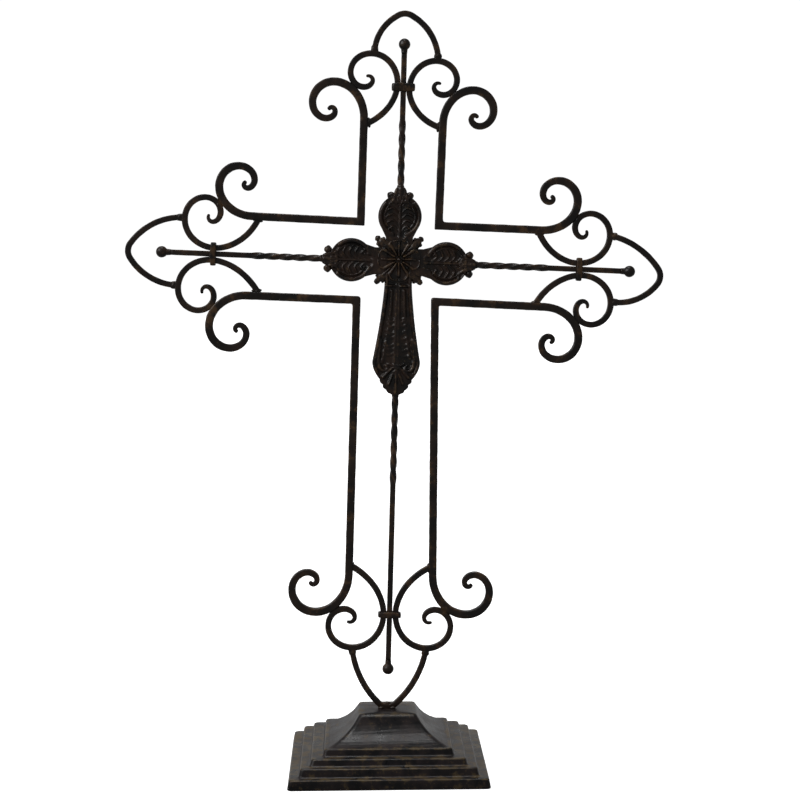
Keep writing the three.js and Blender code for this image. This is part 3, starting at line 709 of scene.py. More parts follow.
@dataclass(frozen=True)
class InnerScroll:
    """A lighter bar from a weld on a leg, past the collar, to a curl that rests on the leg's own scroll."""

    leg: Leg
    host: CornerBar
    radii: tuple[float, ...] = (36, 25.9, 18.1, 13.3, 4.8)
    turns: float = 5.2
    taper: float = 2.2
    opening_spread: float = 2.2
    rest_between: tuple[float, float] = (1.4, 4)
    most_tilt: float = math.radians(20)
    weld_out: float = 0.8
    weld_radii: tuple[float, float, float] = (5.2, 1.9, 3.1)
    rest_radii: tuple[float, float, float] = (2.9, 3.2, 3.2)

    @property
    def name(self) -> str:
        """Name of the piece: the arm it stands on, and the corner."""
        return f"{self.leg.arm}_{self.host.name}"

    def start(self) -> np.ndarray:
        """Where the scroll lies against the rod in the collar."""
        arm = ARMS[self.leg.arm]
        return arm.point(arm.collar, self.leg.side * (ROD / 2 + WELD_GAP + SCROLL_STOCK / 2))

    def curl(self, tilt: float) -> np.ndarray:
        """The curl beyond the collar, turned outwards by an angle."""
        radii = tuple(radius * self.leg.inner for radius in self.radii)
        angle = ARMS[self.leg.arm].angle + self.leg.side * tilt
        steps = round(self.turns * STATIONS)
        return scroll_curve(self.start(), angle, self.leg.side, radii, self.turns, steps)

    def opening(self, tilt: float, radius: float) -> np.ndarray:
        """The stretch from the collar back to the leg, bent less and less, cut at the leg's centre line."""
        angle = ARMS[self.leg.arm].angle + self.leg.side * tilt + math.pi
        radii = (radius, radius * self.opening_spread)
        curve = scroll_curve(self.start(), angle, -self.leg.side, radii, 1, 40)
        across = heading(self.leg.angle + self.leg.side * QUARTER)
        offset = -((curve - self.leg.point(0)) @ across)
        past = max(int(np.argmax(offset <= 0)), 1)
        share = offset[past - 1] / (offset[past - 1] - offset[past])
        return np.vstack([curve[:past], curve[past - 1] + (curve[past] - curve[past - 1]) * share])

    def settled(self) -> tuple[float, float]:
        """The tilt that rests the curl on the host bar, then the bend that brings the weld to its place."""
        path = self.host.centre_line()[0]
        touch = BAR / 2 + SCROLL_STOCK / 2 - WELD_SEAT
        first, last = (round(turns * STATIONS) for turns in self.rest_between)
        arm = ARMS[self.leg.arm]

        def rests(tilt: float) -> bool:
            """Whether the curl is within reach of the host."""
            return least_distance(self.curl(tilt)[first:last], path) <= touch

        tilt = first_that_holds(-self.most_tilt, self.most_tilt, rests)

        def welds(radius: float) -> bool:
            """Whether the opening ends no farther out than the weld's place."""
            return float((self.opening(tilt, radius)[-1] - CROSSING) @ heading(arm.angle)) <= self.leg.weld

        return tilt, first_that_holds(SCROLL_STOCK, self.leg.offset * 4, welds)

    def build(self, seed: int) -> tuple[bpy.types.Object, np.ndarray]:
        """Makes the scroll with its welds, and returns it with the crest of its curl."""
        tilt, radius = self.settled()
        curl = self.curl(tilt)
        opening = self.opening(tilt, radius)
        steps = len(curl) - 1
        end, end_widths = round_end(curl, tapered(steps, self.turns, self.taper, SCROLL_STOCK), 1.5)
        points = np.vstack([opening[:0:-1], end])
        widths = np.concatenate([np.full(len(opening) - 1, SCROLL_STOCK), end_widths])
        gaps = np.array([least_distance(point[None], self.host.centre_line()[0]) for point in curl[::3]])
        nearest = curl[3 * int(gaps.argmin())]
        away = self.leg.angle
        inward = heading(away + self.leg.side * QUARTER)
        depth = (opening - opening[-1]) @ -inward
        face = opening[int(np.argmin(np.abs(depth - BAR / 2 - self.weld_out)))]
        shells = [
            sweep(points, widths, seed, LIGHT_HAMMER),
            blob(face + inward * 0.2, self.weld_radii, away + self.leg.side * 0.1, seed + 1),
            blob(nearest, self.rest_radii, away, seed + 2),
        ]
        name = f"inner_scroll_{self.name}"
        return piece(f"forged_{name}", joined(shells), Coat.IRONWORK, name), curl[STATIONS]


def first_that_holds(low: float, high: float, test: Callable[[float], bool]) -> float:
    """The value between two bounds at which a rising test first holds, by halving."""
    for _ in range(30):
        middle = (low + high) / 2
        if test(middle):
            high = middle
        else:
            low = middle
    return high


@dataclass(frozen=True)
class PointedArch:
    """The pointed loop round a ball end, welded to the crests of two inner scrolls."""

    arm: Arm
    point_radius: float = 13.0
    weld_radii: tuple[float, float, float] = (4.7, 3.9, 3.4)
    foot_radii: tuple[float, float, float] = (4.6, 2.6, 2.9)
    foot_rise: float = 2.6
    spot_radii: tuple[float, float, float] = (3.0, 2.0, 3.4)
    spots: tuple[float, ...] = (-6.3, 5.8)

    def side(self, side: int, crest: np.ndarray) -> np.ndarray:
        """One half: an arc of the point, then the circle that leaves it smoothly and goes through the crest.

        The circle's radius is the squared distance to the crest over twice its part across the heading.
        """
        tip = self.arm.point(self.arm.reach, self.arm.arch_offset)
        angle = self.arm.angle + side * QUARTER
        bend = math.radians(self.arm.arch_point)
        point = scroll_curve(tip, angle, side, (self.point_radius,) * 2, bend / QUARTER, 10)
        after = angle + side * bend
        chord = crest - point[-1]
        forward = float(chord @ heading(after))
        across = float(chord @ heading(after + side * QUARTER))
        radius = (forward**2 + across**2) / (2 * across)
        turns = 2 * math.atan2(across, forward) / QUARTER
        arc = scroll_curve(point[-1], after, side, (radius, radius), turns, 44)
        return np.vstack([point, arc[1:]])

    def build(self, crests: dict[int, np.ndarray], seed: int) -> bpy.types.Object:
        """Makes the arch with a lump of weld at both ends, and at its foot where it stands on the base."""
        halves = {side: self.side(side, crest) for side, crest in crests.items()}
        points = np.vstack([halves[1][::-1], halves[-1][1:]])
        shells = [sweep(points, np.full(len(points), ARCH_STOCK), seed, LIGHT_HAMMER)]
        for side, half in halves.items():
            back = half[-4] - half[-1]
            toward = math.atan2(back[1], back[0])
            place = half[-1] + heading(toward) * (SCROLL_STOCK / 2 + 1.2)
            shells.append(blob(place, self.weld_radii, toward, seed + 3 + side))
        if self.arm.name == "bottom":
            tip = self.arm.point(self.arm.reach)
            shells.append(blob(tip + [0, self.foot_rise], self.foot_radii, 0, seed + 7))
            for place in self.spots:
                shells.append(blob(tip + [place, -0.9], self.spot_radii, 0, seed + 8, -1.4))
        name = f"pointed_arch_{self.arm.name}"
        return piece(f"forged_{name}", joined(shells), Coat.IRONWORK, name)


@dataclass(frozen=True)
class BallEndedRod:
    """A square rod, twisted next to the centrepiece and plain beyond, with a ball at its end."""

    arm: Arm
    twist_pitch: float = 14.0
    ball: float = 11.6
    neck: float = 3.0
    neck_radius: float = 3.3

    def build_rod(self, seed: int) -> bpy.types.Object:
        """Makes the rod: a rounded square section that turns evenly along the twisted part."""
        start = self.arm.cast_tip + WELD_GAP
        end = self.arm.ball - self.ball / 2 - self.neck
        quarters = round(self.arm.twist / self.twist_pitch)
        twisted = np.linspace(start, start + self.arm.twist, quarters * 12 + 1)
        plain = np.linspace(twisted[-1], end, int((end - twisted[-1]) / 3) + 2)[1:]
        along = np.concatenate([twisted, plain])
        turn = np.clip((along - start) / self.arm.twist, 0, 1)[:, None] * quarters * QUARTER
        outline, crown = rounded_square(0.16)
        around = np.arctan2(outline[:, 1], outline[:, 0])
        reach = np.hypot(*outline.T) * ROD + 0.05 * hammered(along, around, seed)
        left = reach * np.cos(around + turn)
        plane = self.arm.point(np.broadcast_to(along[:, None], left.shape), left)
        shells = [tube(in_space(plane, reach * np.sin(around + turn)), crown)]
        shells.append(blob(self.arm.point(start), (2.4, 3.6, 3.6), self.arm.angle, seed + 1))
        name = f"rod_{self.arm.name}"
        return piece(f"forged_{name}", joined(shells), Coat.IRONWORK, name)

    def build_ball(self, seed: int) -> bpy.types.Object:
        """Makes the ball: a flared neck, then a sphere, turned round the arm's line."""
        radius = self.ball / 2
        meets = math.asin(self.neck_radius / radius)
        polar = np.linspace(meets, np.pi - 0.02, 22)
        neck_along = np.linspace(-radius - self.neck, -radius * math.cos(meets), 7)[:-1]
        flare = np.linspace(ROD / 2 + 0.2, self.neck_radius, 7)[:-1]
        along = np.concatenate([neck_along, -radius * np.cos(polar)]) + self.arm.ball
        shell = lathe(self.arm, along, np.concatenate([flare, radius * np.sin(polar)]), seed)
        name = f"ball_end_{self.arm.name}"
        return piece(f"forged_{name}", shell, Coat.IRONWORK, name)


@dataclass(frozen=True)
class Collar:
    """A band bent round the rod and the two scrolls beside it."""

    arm: Arm
    band: float = 2.2
    clearance: float = 0.4
    corner: float = 1.6

    def build(self, seed: int) -> bpy.types.Object:
        """Makes the band: a rounded section carried round a rounded rectangle, lower towards its two ends."""
        half = np.array([ROD / 2 + WELD_GAP + SCROLL_STOCK, SCROLL_STOCK / 2]) + self.clearance
        core, normal = rounded_core(4)
        core_points = core * (half + self.band / 2 - self.corner)
        round_section = np.linspace(0, 2 * np.pi, 20, endpoint=False)
        out = self.band / 2 * np.sign(np.cos(round_section)) * np.abs(np.cos(round_section)) ** 0.7
        up = np.sign(np.sin(round_section)) * np.abs(np.sin(round_section)) ** 0.6
        share = np.abs(core_points[:, 0]) / (half[0] + self.band)
        height = self.arm.collar_height / 2 * (1 - 0.35 * share**4)
        reach = self.corner + out
        left = core_points[:, :1] + normal[:, :1] * reach
        depth = core_points[:, 1:] + normal[:, 1:] * reach
        along = self.arm.collar + height[:, None] * up
        along = along + 0.15 * np.sin(left / 3 + seed)
        plane = self.arm.point(along, left)
        name = f"collar_{self.arm.name}"
        rub = 0.7 + 0.3 * np.abs(up) ** 3
        return piece(f"forged_{name}", tube(in_space(plane, depth), rub, True), Coat.IRONWORK, name)


# Cast centrepiece


@dataclass(frozen=True)
class Stroke:
    """A raised, tapering ridge along a bent line, as a strip of wax is laid on a casting's pattern."""

    line: tuple[tuple[float, float], tuple[float, float], tuple[float, float]]
    width: tuple[float, float]
    height: tuple[float, float]

    def mirrored(self) -> "Stroke":
        """The same ridge on the other side."""
        return Stroke(tuple((u, -v) for u, v in self.line), self.width, self.height)

    def lift(self, u: np.ndarray, v: np.ndarray) -> np.ndarray:
        """Height over each point: the highest of the half ellipsoids set along a quadratic curve."""
        a, b, c = (np.array(p, float) for p in self.line)
        count = int((math.dist(a, b) + math.dist(b, c)) / (0.35 * min(self.width))) + 6
        share = np.linspace(0, 1, count)
        weight = share[:, None]
        path = (1 - weight) ** 2 * a + 2 * weight * (1 - weight) * b + weight**2 * c
        width = np.interp(share, (0, 1), self.width)
        height = np.interp(share, (0, 1), self.height)
        away = (u[..., None] - path[:, 0]) ** 2 + (v[..., None] - path[:, 1]) ** 2
        return (height * np.sqrt(np.clip(1 - away / width**2, 0, 1))).max(-1)


def both(strokes: list[Stroke]) -> list[Stroke]:
    """Strokes with their mirror images."""
    return strokes + [stroke.mirrored() for stroke in strokes]


def relief(u: np.ndarray, v: np.ndarray, ground: np.ndarray, strokes: list[Stroke]) -> np.ndarray:
    """The ground or the highest stroke over each point."""
    height = ground.copy()
    for stroke in strokes:
        height = np.maximum(height, stroke.lift(u, v))
    return height


def edge_limit(inset: np.ndarray, edge: float = 1.3, rounding: float = 2.4) -> np.ndarray:
    """Greatest height at a distance from the outline: a quarter round that rises from the edge's height."""
    share = np.clip(inset / rounding, 0, 1)
    return edge + (CAST_RIM + 2.5 - edge) * np.sqrt(1 - (1 - share) ** 2)


def rubbed(height: np.ndarray) -> np.ndarray:
    """How rubbed the cast relief is: not at all where it is low, then more by a power of its height."""
    return np.clip((height - RUB_FROM) / RUB_RANGE, 0, 1) ** 1.3


def polar_outline(outline: list[tuple[float, float]], centre: float, angles: np.ndarray) -> np.ndarray:
    """Radius of a shape about a point on its axis at each angle, along its sides; 0 where it has none."""
    corners = np.array(outline, float)
    share = np.linspace(0, 1, 30, endpoint=False)[:, None, None]
    sides = (corners[:-1] * (1 - share) + corners[1:] * share).transpose(1, 0, 2).reshape(-1, 2)
    sides = np.vstack([sides, corners[-1]])
    turn = np.unwrap(np.arctan2(sides[:, 1], sides[:, 0] - centre))
    radius = np.hypot(sides[:, 0] - centre, sides[:, 1])
    if turn[0] > turn[-1]:
        turn, radius = turn[::-1], radius[::-1]
    middle = (turn[0] + turn[-1]) / 2
    wrapped = middle + np.mod(angles - middle + np.pi, 2 * np.pi) - np.pi
    return np.interp(wrapped, turn, radius, left=0, right=0)


@dataclass(frozen=True)
class Centrepiece:
    """The cast ornament at the crossing: three lobes with leaves in them, a rosette and a feathered shaft."""

    lobe_radius: float = 21.7
    lobe_neck: float = 13.5
    lobe_waist: float = 33.0
    rosette_radius: float = 22.0
    bead_at: float = 30.2
    beads_rise: float = 1.4
    bead: float = 8.0
    petal_rise: float = 2.3
    shaft_neck: float = 13.7
    shaft_widest: float = 24.0
    shaft_widest_at: float = 100.0
    shaft_end: float = 118.0
    shaft_end_width: float = 16.0
    scallop: float = 1.4
    scallop_pitch: float = 5.2
    feathers: int = 7

    def disc(
        self, arm: Arm, centre: float, radius: np.ndarray, height: Callable[..., np.ndarray], rings: int
    ) -> Shell:
        """A plate on rays from a point of an arm, with the same relief on its front and its back.

        Args:
            arm: the arm it lies along.
            centre: where the rays start.
            radius: reach of each ray.
            height: function of (u, v) that gives half the thickness.
            rings: stations along each ray.

        Returns:
            The closed skin, rubbed where it is raised.
        """
        angles = np.linspace(0, 2 * np.pi, len(radius), endpoint=False)
        share = np.linspace(0.004, 1, rings)[:, None]
        u = centre + share * radius * np.cos(angles)
        v = share * radius * np.sin(angles)
        half = np.minimum(height(u, v), edge_limit((1 - share) * radius))
        plane = arm.point(u, v)
        front, back = in_space(plane, -half), in_space(plane, half)
        rub = rubbed(half)
        return tube(np.concatenate([front, back[::-1]]), np.concatenate([rub, rub[::-1]]))

    def lobe(self, arm: Arm, centre: float, bead_back: float, seed: int) -> list[Shell]:
        """A lobe: a rim with curled ends about a sunk panel with a leaf, and a finial with two beads."""
        size = self.lobe_radius
        tip = arm.cast_tip
        angles = np.linspace(0, 2 * np.pi, 192, endpoint=False)
        waist = math.sqrt(size**2 - (centre - self.lobe_waist) ** 2)
        throat_side = [(self.lobe_waist, waist), (24, self.lobe_neck), (11, self.lobe_neck)]
        throat = throat_side + [(u, -v) for u, v in throat_side[::-1]]
        finial_side = [(tip - 15, 9.5), (tip - 9, 7), (tip - 4, 6.2), (tip - 1.2, 4.7), (tip, 3.2)]
        finial = [(u, -v) for u, v in finial_side] + finial_side[::-1]
        radius = np.maximum(np.full(192, size), polar_outline(throat, centre, angles))
        radius = np.maximum(radius, polar_outline(finial, centre, angles))

        def at(u: float, v: float) -> tuple[float, float]:
            """A point by shares of the lobe's radius."""
            return centre + u * size, v * size

        leaf = [
            Stroke((at(-1.0, 0), at(0, 0), at(0.78, 0)), (2.4, 1.5), (4.1, 4.0)),
            *both([
                Stroke((at(1.02, 0.40), at(0.90, 0.16), at(0.70, 0.36)), (2.9, 1.8), (5.6, 5.0)),
                Stroke((at(-1.02, 0.22), at(-0.82, 0.50), at(-0.62, 0.60)), (1.8, 1.3), (5.0, 4.4)),
                Stroke((at(0.62, 0.06), at(0.78, 0.14), at(0.92, 0.10)), (1.3, 1.6), (4.6, 5.0)),
            ]),
            Stroke(((tip - 13, 0), (tip - 8, 0), (tip - 2.4, 0)), (1.9, 2.9), (4.9, 5.8)),
            *both([
                Stroke(((tip - 14, 1.5), (tip - 9, 5.4), (tip - 3.4, 4.2)), (1.4, 1.7), (4.6, 5.0)),
                Stroke(((tip - 15, 3), (tip - 13, 8), (tip - bead_back, 9)), (1.9, 2.4), (4.8, 4.8)),
            ]),
        ]
        for place in (-0.66, -0.38, -0.10, 0.18, 0.46):
            reach = 0.66 * math.sqrt(1 - (place + 0.05) ** 2)
            elbow = at(place + 0.16, reach * 0.72)
            leaf += both([
                Stroke((at(place, 0.10), at(place + 0.30, 0.30), elbow), (1.1, 1.8), (3.5, 4.4)),
                Stroke((elbow, at(place + 0.10, reach), at(place - 0.02, reach)), (1.8, 1.1), (4.4, 3.4)),
            ])

        def height(u: np.ndarray, v: np.ndarray) -> np.ndarray:
            """Panel, rim and strokes. The rim is a half round that follows the lobe's circle."""
            away = np.hypot(u - centre, v)
            rim = CAST_RIM * np.sqrt(np.clip(1 - ((away - size + 2.4) / 2.6) ** 2, 0, 1))
            lip = 4.1 * np.sqrt(np.clip(1 - ((away - size + 6.4) / 0.9) ** 2, 0, 1))
            beside = np.clip((np.abs(v) - 3.5) / 2.5, 0, 1)
            closed = beside * np.clip((np.abs(v) - 6) / 3 + (centre + 12 - u), 0, 1)
            outside = np.clip((away - size + 2.4) / 3, 0, 1) * 1.6
            return relief(u, v, np.maximum(CAST_PANEL + outside, np.maximum(rim, lip) * closed), leaf)

        beads = []
        for side in (-1, 1):
            place = arm.point(tip - bead_back, side * 9.2)
            beads.append(blob(place, (self.bead / 2, self.bead / 2, 4.6), arm.angle, seed + side))
        return [self.disc(arm, centre, radius, height, 46), *beads]

    def rosette(self, seed: int) -> list[Shell]:
        """Four broad petals with rolled edges, leaves on the diagonals that end in beads, and a button."""
        arm = ARMS["top"]
        rise = self.petal_rise

        def turned(points: list[tuple[float, float]], angle: float) -> tuple:
            """Points turned about the petals' centre."""
            c, s = math.cos(angle), math.sin(angle)
            return tuple((rise + u * c - v * s, u * s + v * c) for u, v in points)

        strokes = []
        for quarter in range(4):
            angle = quarter * QUARTER
            strokes.append(Stroke(turned([(6, 0), (11, 0), (16, 0)], angle), (1.8, 5.0), (3.3, 4.0)))
            strokes.append(Stroke(turned([(4, 0), (10, 0.5), (16.5, 0)], angle), (1.3, 2.6), (6.3, 5.4)))
            for side in (-1, 1):
                edge = [(4.4, side * 2.7), (9.5, side * 5.4), (14.4, side * 9.2)]
                strokes.append(Stroke(turned(edge, angle), (1.3, 2.9), (6.4, 5.8)))
                lip = [(14.4, side * 9.2), (21.4, side * 8.8), (20.6, side * 1.4)]
                strokes.append(Stroke(turned(lip, angle), (1.9, 1.6), (5.8, 5.4)))
            spine = [(12, 0), (18, 0), (27, 0)]
            strokes.append(Stroke(turned(spine, angle + QUARTER / 2), (1.0, 2.0), (5.2, 5.6)))
        strokes += [
            Stroke(((rise + 13, 0), (rise + 17, 0), (rise + 21.5, 0)), (1.6, 1.2), (6.2, 5.8)),
            *both([Stroke(((rise + 18.6, 0.5), (rise + 19, 3), (rise + 18.2, 5.4)), (1.2, 1.4), (5.8, 5.8))]),
        ]

        def height(u: np.ndarray, v: np.ndarray) -> np.ndarray:
            """A shallow dished ground under the strokes."""
            ground = 2.9 + 1.0 * np.clip(np.hypot(u - rise, v) / self.rosette_radius, 0, 1) ** 2
            return relief(u, v, ground, strokes)

        shells = [self.disc(arm, 0, np.full(176, self.rosette_radius), height, 42)]
        shells.append(blob(arm.point(rise), (2.5, 2.5, 6.9), 0, seed))
        for quarter in range(4):
            turn = (quarter + 0.5) * QUARTER
            direction = arm.angle + turn
            u, v = math.cos(turn), math.sin(turn)
            centre = self.beads_rise
            leaf = arm.point(centre + u * 21.5, v * 21.5)
            shells.append(blob(leaf, (8.6, 5.4, 4.7), direction, seed + quarter))
            tip = arm.point(centre + u * self.bead_at, v * self.bead_at)
            shells.append(blob(tip, (3.0, 3.0, 3.3), direction, seed + 9 + quarter))
            for side in (-1, 1):
                curl = tip - heading(direction) * 4.6 + side * heading(direction + QUARTER) * 3.6
                shells.append(blob(curl, (2.4, 1.9, 3.4), direction + side * 0.6, seed + 20 + quarter))
        return shells

    def half_width(self, along: np.ndarray) -> np.ndarray:
        """Half the width of the shaft: it swells to its widest, rounds off, and ends in a leaf's lobes."""
        grow = np.clip((along - self.rosette_radius) / (self.shaft_widest_at - self.rosette_radius), 0, 1)
        swell = self.shaft_neck + (self.shaft_widest - self.shaft_neck) * grow**1.4
        past = np.clip((along - self.shaft_widest_at) / (self.shaft_end - self.shaft_widest_at), 0, 1)
        drop = self.shaft_end_width + (self.shaft_widest - self.shaft_end_width) * (1 - past**2)
        tip = ARMS["bottom"].cast_tip
        knots = (self.shaft_end, tip - 11, tip - 6, tip - 2.4, tip - 0.8, tip)
        leafy = np.interp(along, knots, (self.shaft_end_width, 12.8, 9.8, 5.6, 3.6, 3.0))
        wave = np.abs(np.sin((along - self.shaft_end) * np.pi / self.scallop_pitch))
        leafy = leafy + self.scallop * wave * (along < tip - 2)
        body = np.where(along <= self.shaft_widest_at, swell, drop)
        return np.where(along < self.shaft_end, body, leafy)

    def shaft(self) -> Shell:
        """The shaft: rims about two hollows, a spine, pairs of feather leaves, and a leaf over its end."""
        arm = ARMS["bottom"]
        tip = arm.cast_tip
        root = self.rosette_radius
        widest = self.shaft_widest_at
        strokes = both([
            Stroke(((root, 1.2), (70, 1.5), (self.shaft_end - 12, 1.8)), (1.4, 1.9), (4.5, 4.9)),
            Stroke(((48, 6.6), (78, 9.6), (101, 14.4)), (0.9, 1.6), (3.6, 4.7)),
            Stroke(((root + 2.2, 2.5), (root + 2.2, 7), (root + 2.2, 11.5)), (1.3, 1.3), (5.6, 5.7)),
            Stroke(((root + 7, 6.3), (root + 20, 6.6), (root + 30, 7.2)), (2.0, 2.3), (4.3, 4.4)),
            Stroke(((root + 31, 7.4), (root + 35, 8.0), (root + 35, 5.0)), (2.2, 1.2), (4.5, 3.8)),
        ])
        draw = np.random.default_rng(7)
        for along in np.linspace(root + 36, widest - 7, self.feathers):
            reach = float(self.half_width(np.array(along))) - 8.2
            for side in (-1, 1):
                start = along + draw.uniform(-1.4, 1.4)
                turn = reach * draw.uniform(0.55, 0.85)
                elbow = (start + 1, side * turn)
                rise = ((start - 2.5, side * 2.6), (start + 3.5, side * turn * 0.5), elbow)
                curl = (elbow, (start - 1, side * reach), (start - 3.5, side * reach))
                strokes += [Stroke(rise, (1.3, 2.3), (3.2, 3.9)), Stroke(curl, (2.3, 1.1), (3.9, 3.1))]
        strokes += both([
            Stroke(((78, 15.4), (96, 18.8), (104, 17.2)), (1.5, 2.6), (4.6, 5.5)),
            Stroke(((104, 17.2), (111, 14.8), (108.5, 9.6)), (2.6, 2.2), (5.5, 5.4)),
            Stroke(((108.5, 9.6), (105.5, 7.2), (103.6, 10.8)), (2.0, 1.4), (5.4, 4.8)),
            Stroke(((103.5, 0.6), (104.2, 4), (102, 7.6)), (1.5, 1.4), (5.3, 4.8)),
            Stroke(((106, 3.6), (110, 8.2), (115.5, 12.8)), (1.6, 2.7), (5.4, 5.9)),
            Stroke(((108.5, 1.9), (116, 4.6), (122.5, 7.2)), (1.2, 2.1), (5.3, 5.7)),
        ])
        strokes.append(Stroke(((105.5, 0), (116, 0), (tip - 3, 0)), (1.5, 2.2), (5.6, 6.1)))
        along = np.linspace(root / 2, tip, 200)
        half = self.half_width(along)
        share = np.sin(np.linspace(-QUARTER, QUARTER, 58))
        u = np.broadcast_to(along[:, None], (200, 58))
        v = half[:, None] * share
        inset = half[:, None] - np.abs(v)
        rim = CAST_RIM * np.sqrt(np.clip(1 - ((inset - 2.3) / 2.5) ** 2, 0, 1)) * (u < self.shaft_end - 6)
        leafy = np.clip((u - self.shaft_end + 12) / 8, 0, 1) * 0.9
        height = relief(u, v, np.maximum(CAST_PANEL + leafy, rim), strokes)
        height = np.minimum(height, edge_limit(inset))
        height = np.minimum(height, edge_limit(tip - u, 1.5))
        plane = arm.point(u, v)
        front, back = in_space(plane, -height), in_space(plane, height)
        rub = rubbed(height)
        rings = np.concatenate([front, back[:, ::-1]], axis=1)
        return tube(rings, np.concatenate([rub, rub[:, ::-1]], axis=1))

    def build(self, seed: int) -> bpy.types.Object:
        """Makes the whole ornament as one piece."""
        shells = [self.shaft(), *self.rosette(seed)]
        shells += self.lobe(ARMS["top"], 45, 8.8, seed + 40)
        shells += self.lobe(ARMS["left"], 47.5, 6.2, seed + 50)
        shells += self.lobe(ARMS["right"], 47.5, 7.0, seed + 60)
        return piece("cast_centrepiece_ornament", joined(shells), Coat.CENTREPIECE, "centrepiece")


# Base


@dataclass(frozen=True)
class SteppedBase:
    """The casting that the cross stands on: steps with leaning risers, a coved pyramid and a flat top."""

    widths: tuple[float, ...] = (194.5, 173, 151.5, 126.2)
    rises: tuple[float, ...] = (10, 8.1, 6.6, 6.8)
    draft: float = 1.7
    corner: float = 4.0
    cove_width: float = 118.0
    cove_rise: float = 25.7
    cove_sag: float = 4.0
    top_width: float = 57.0
    rounding: float = 1.7
    tread_rub: float = 0.75
    unevenness: float = 0.06

    def corners(self) -> np.ndarray:
        """Corners of the profile from the underside's edge to the top, as half width and height."""
        points = []
        level = 0.0
        for width, rise in zip(self.widths, self.rises):
            points.append((width / 2 + self.draft, level))
            level += rise
            points.append((width / 2, level))
        share = np.linspace(0, 1, 9)
        sag = 4 * self.cove_sag * share * (1 - share)
        run = (self.cove_width - self.top_width) / 2
        chord = math.hypot(run, self.cove_rise)
        half = self.cove_width / 2 - run * share - sag * self.cove_rise / chord
        height = level + self.cove_rise * share - sag * run / chord
        return np.vstack([points, np.column_stack([half, height])])

    def profile(self) -> tuple[np.ndarray, np.ndarray]:
        """The profile with each corner rounded, and how rubbed each of its points is.

        Each corner gives way to a quadratic curve that starts and ends a rounding's length away from it. The
        outer edges carry the most bronze, partly as wear and partly as a painted highlight along each step's
        edge, and the treads carry more than the risers.
        """
        corners = self.corners()
        before, here, after = corners[:-2], corners[1:-1], corners[2:]
        back, ahead = before - here, after - here
        back_length, ahead_length = np.hypot(*back.T)[:, None], np.hypot(*ahead.T)[:, None]
        reach = np.minimum(self.rounding, np.minimum(back_length, ahead_length) * 0.42)
        start = here + back / back_length * reach
        end = here + ahead / ahead_length * reach
        weight = np.linspace(0, 1, 7)[:, None, None]
        bends = (1 - weight) ** 2 * start + 2 * weight * (1 - weight) * here + weight**2 * end
        outer = ahead[:, 0] * back[:, 1] - ahead[:, 1] * back[:, 0]
        edge = np.clip(outer / (back_length * ahead_length)[:, 0], 0, 1)
        share = np.linspace(0, 1, 7)[:, None]
        # Bronze peaks at the crown of each outer edge: partly wear, partly a painted highlight along the
        # step's edge
        crown = np.sin(np.pi * share) * edge
        of_steps = np.arange(len(edge)) < 2 * len(self.widths)
        lying = np.where(edge > 0, share, share[::-1])
        crown = np.maximum(crown, self.tread_rub * lying * of_steps)
        bent = bends.transpose(1, 0, 2).reshape(-1, 2)
        foot = corners[0] - [0.8, 0]
        top = corners[-1]
        points = np.vstack([foot, corners[0] + [0, 0.8], bent, top - [0.2, 0], [top[0] * 0.6, top[1]]])
        inner = np.column_stack([np.linspace(top[0] * 0.5, 1, 6), np.full(6, top[1])])
        rub = np.concatenate([[0.2, 0.4], crown.T.reshape(-1), [0.9, 0.1], np.zeros(6)])
        return np.vstack([points, inner]), rub

    def build(self, seed: int) -> bpy.types.Object:
        """Makes the casting: the profile carried round a rounded square, a little uneven as cast."""
        points, rub = self.profile()
        core, normal = rounded_core(22)
        corner = np.minimum(self.corner, points[:, 0] * 0.8)[:, None, None]
        ring = (points[:, 0, None, None] - corner) * core + corner * normal
        around = np.arctan2(core[:, 1], core[:, 0])
        uneven = self.unevenness * hammered(points[:, 0] * 3, around * 2, seed) * (points[:, 1, None] > 2)
        height = points[:, 1, None] + uneven
        rings = np.concatenate([ring, height[..., None]], axis=-1)
        rings[..., 2] = np.clip(rings[..., 2], 0, PLATE_TOP)
        rubs = np.clip(rub[:, None] + 0.12 * np.sin(5 * around + rings[..., 0] / 9), 0, 1)
        return piece("cast_stepped_base", tube(rings, rubs), Coat.BASE, "stepped_base")


# Studio


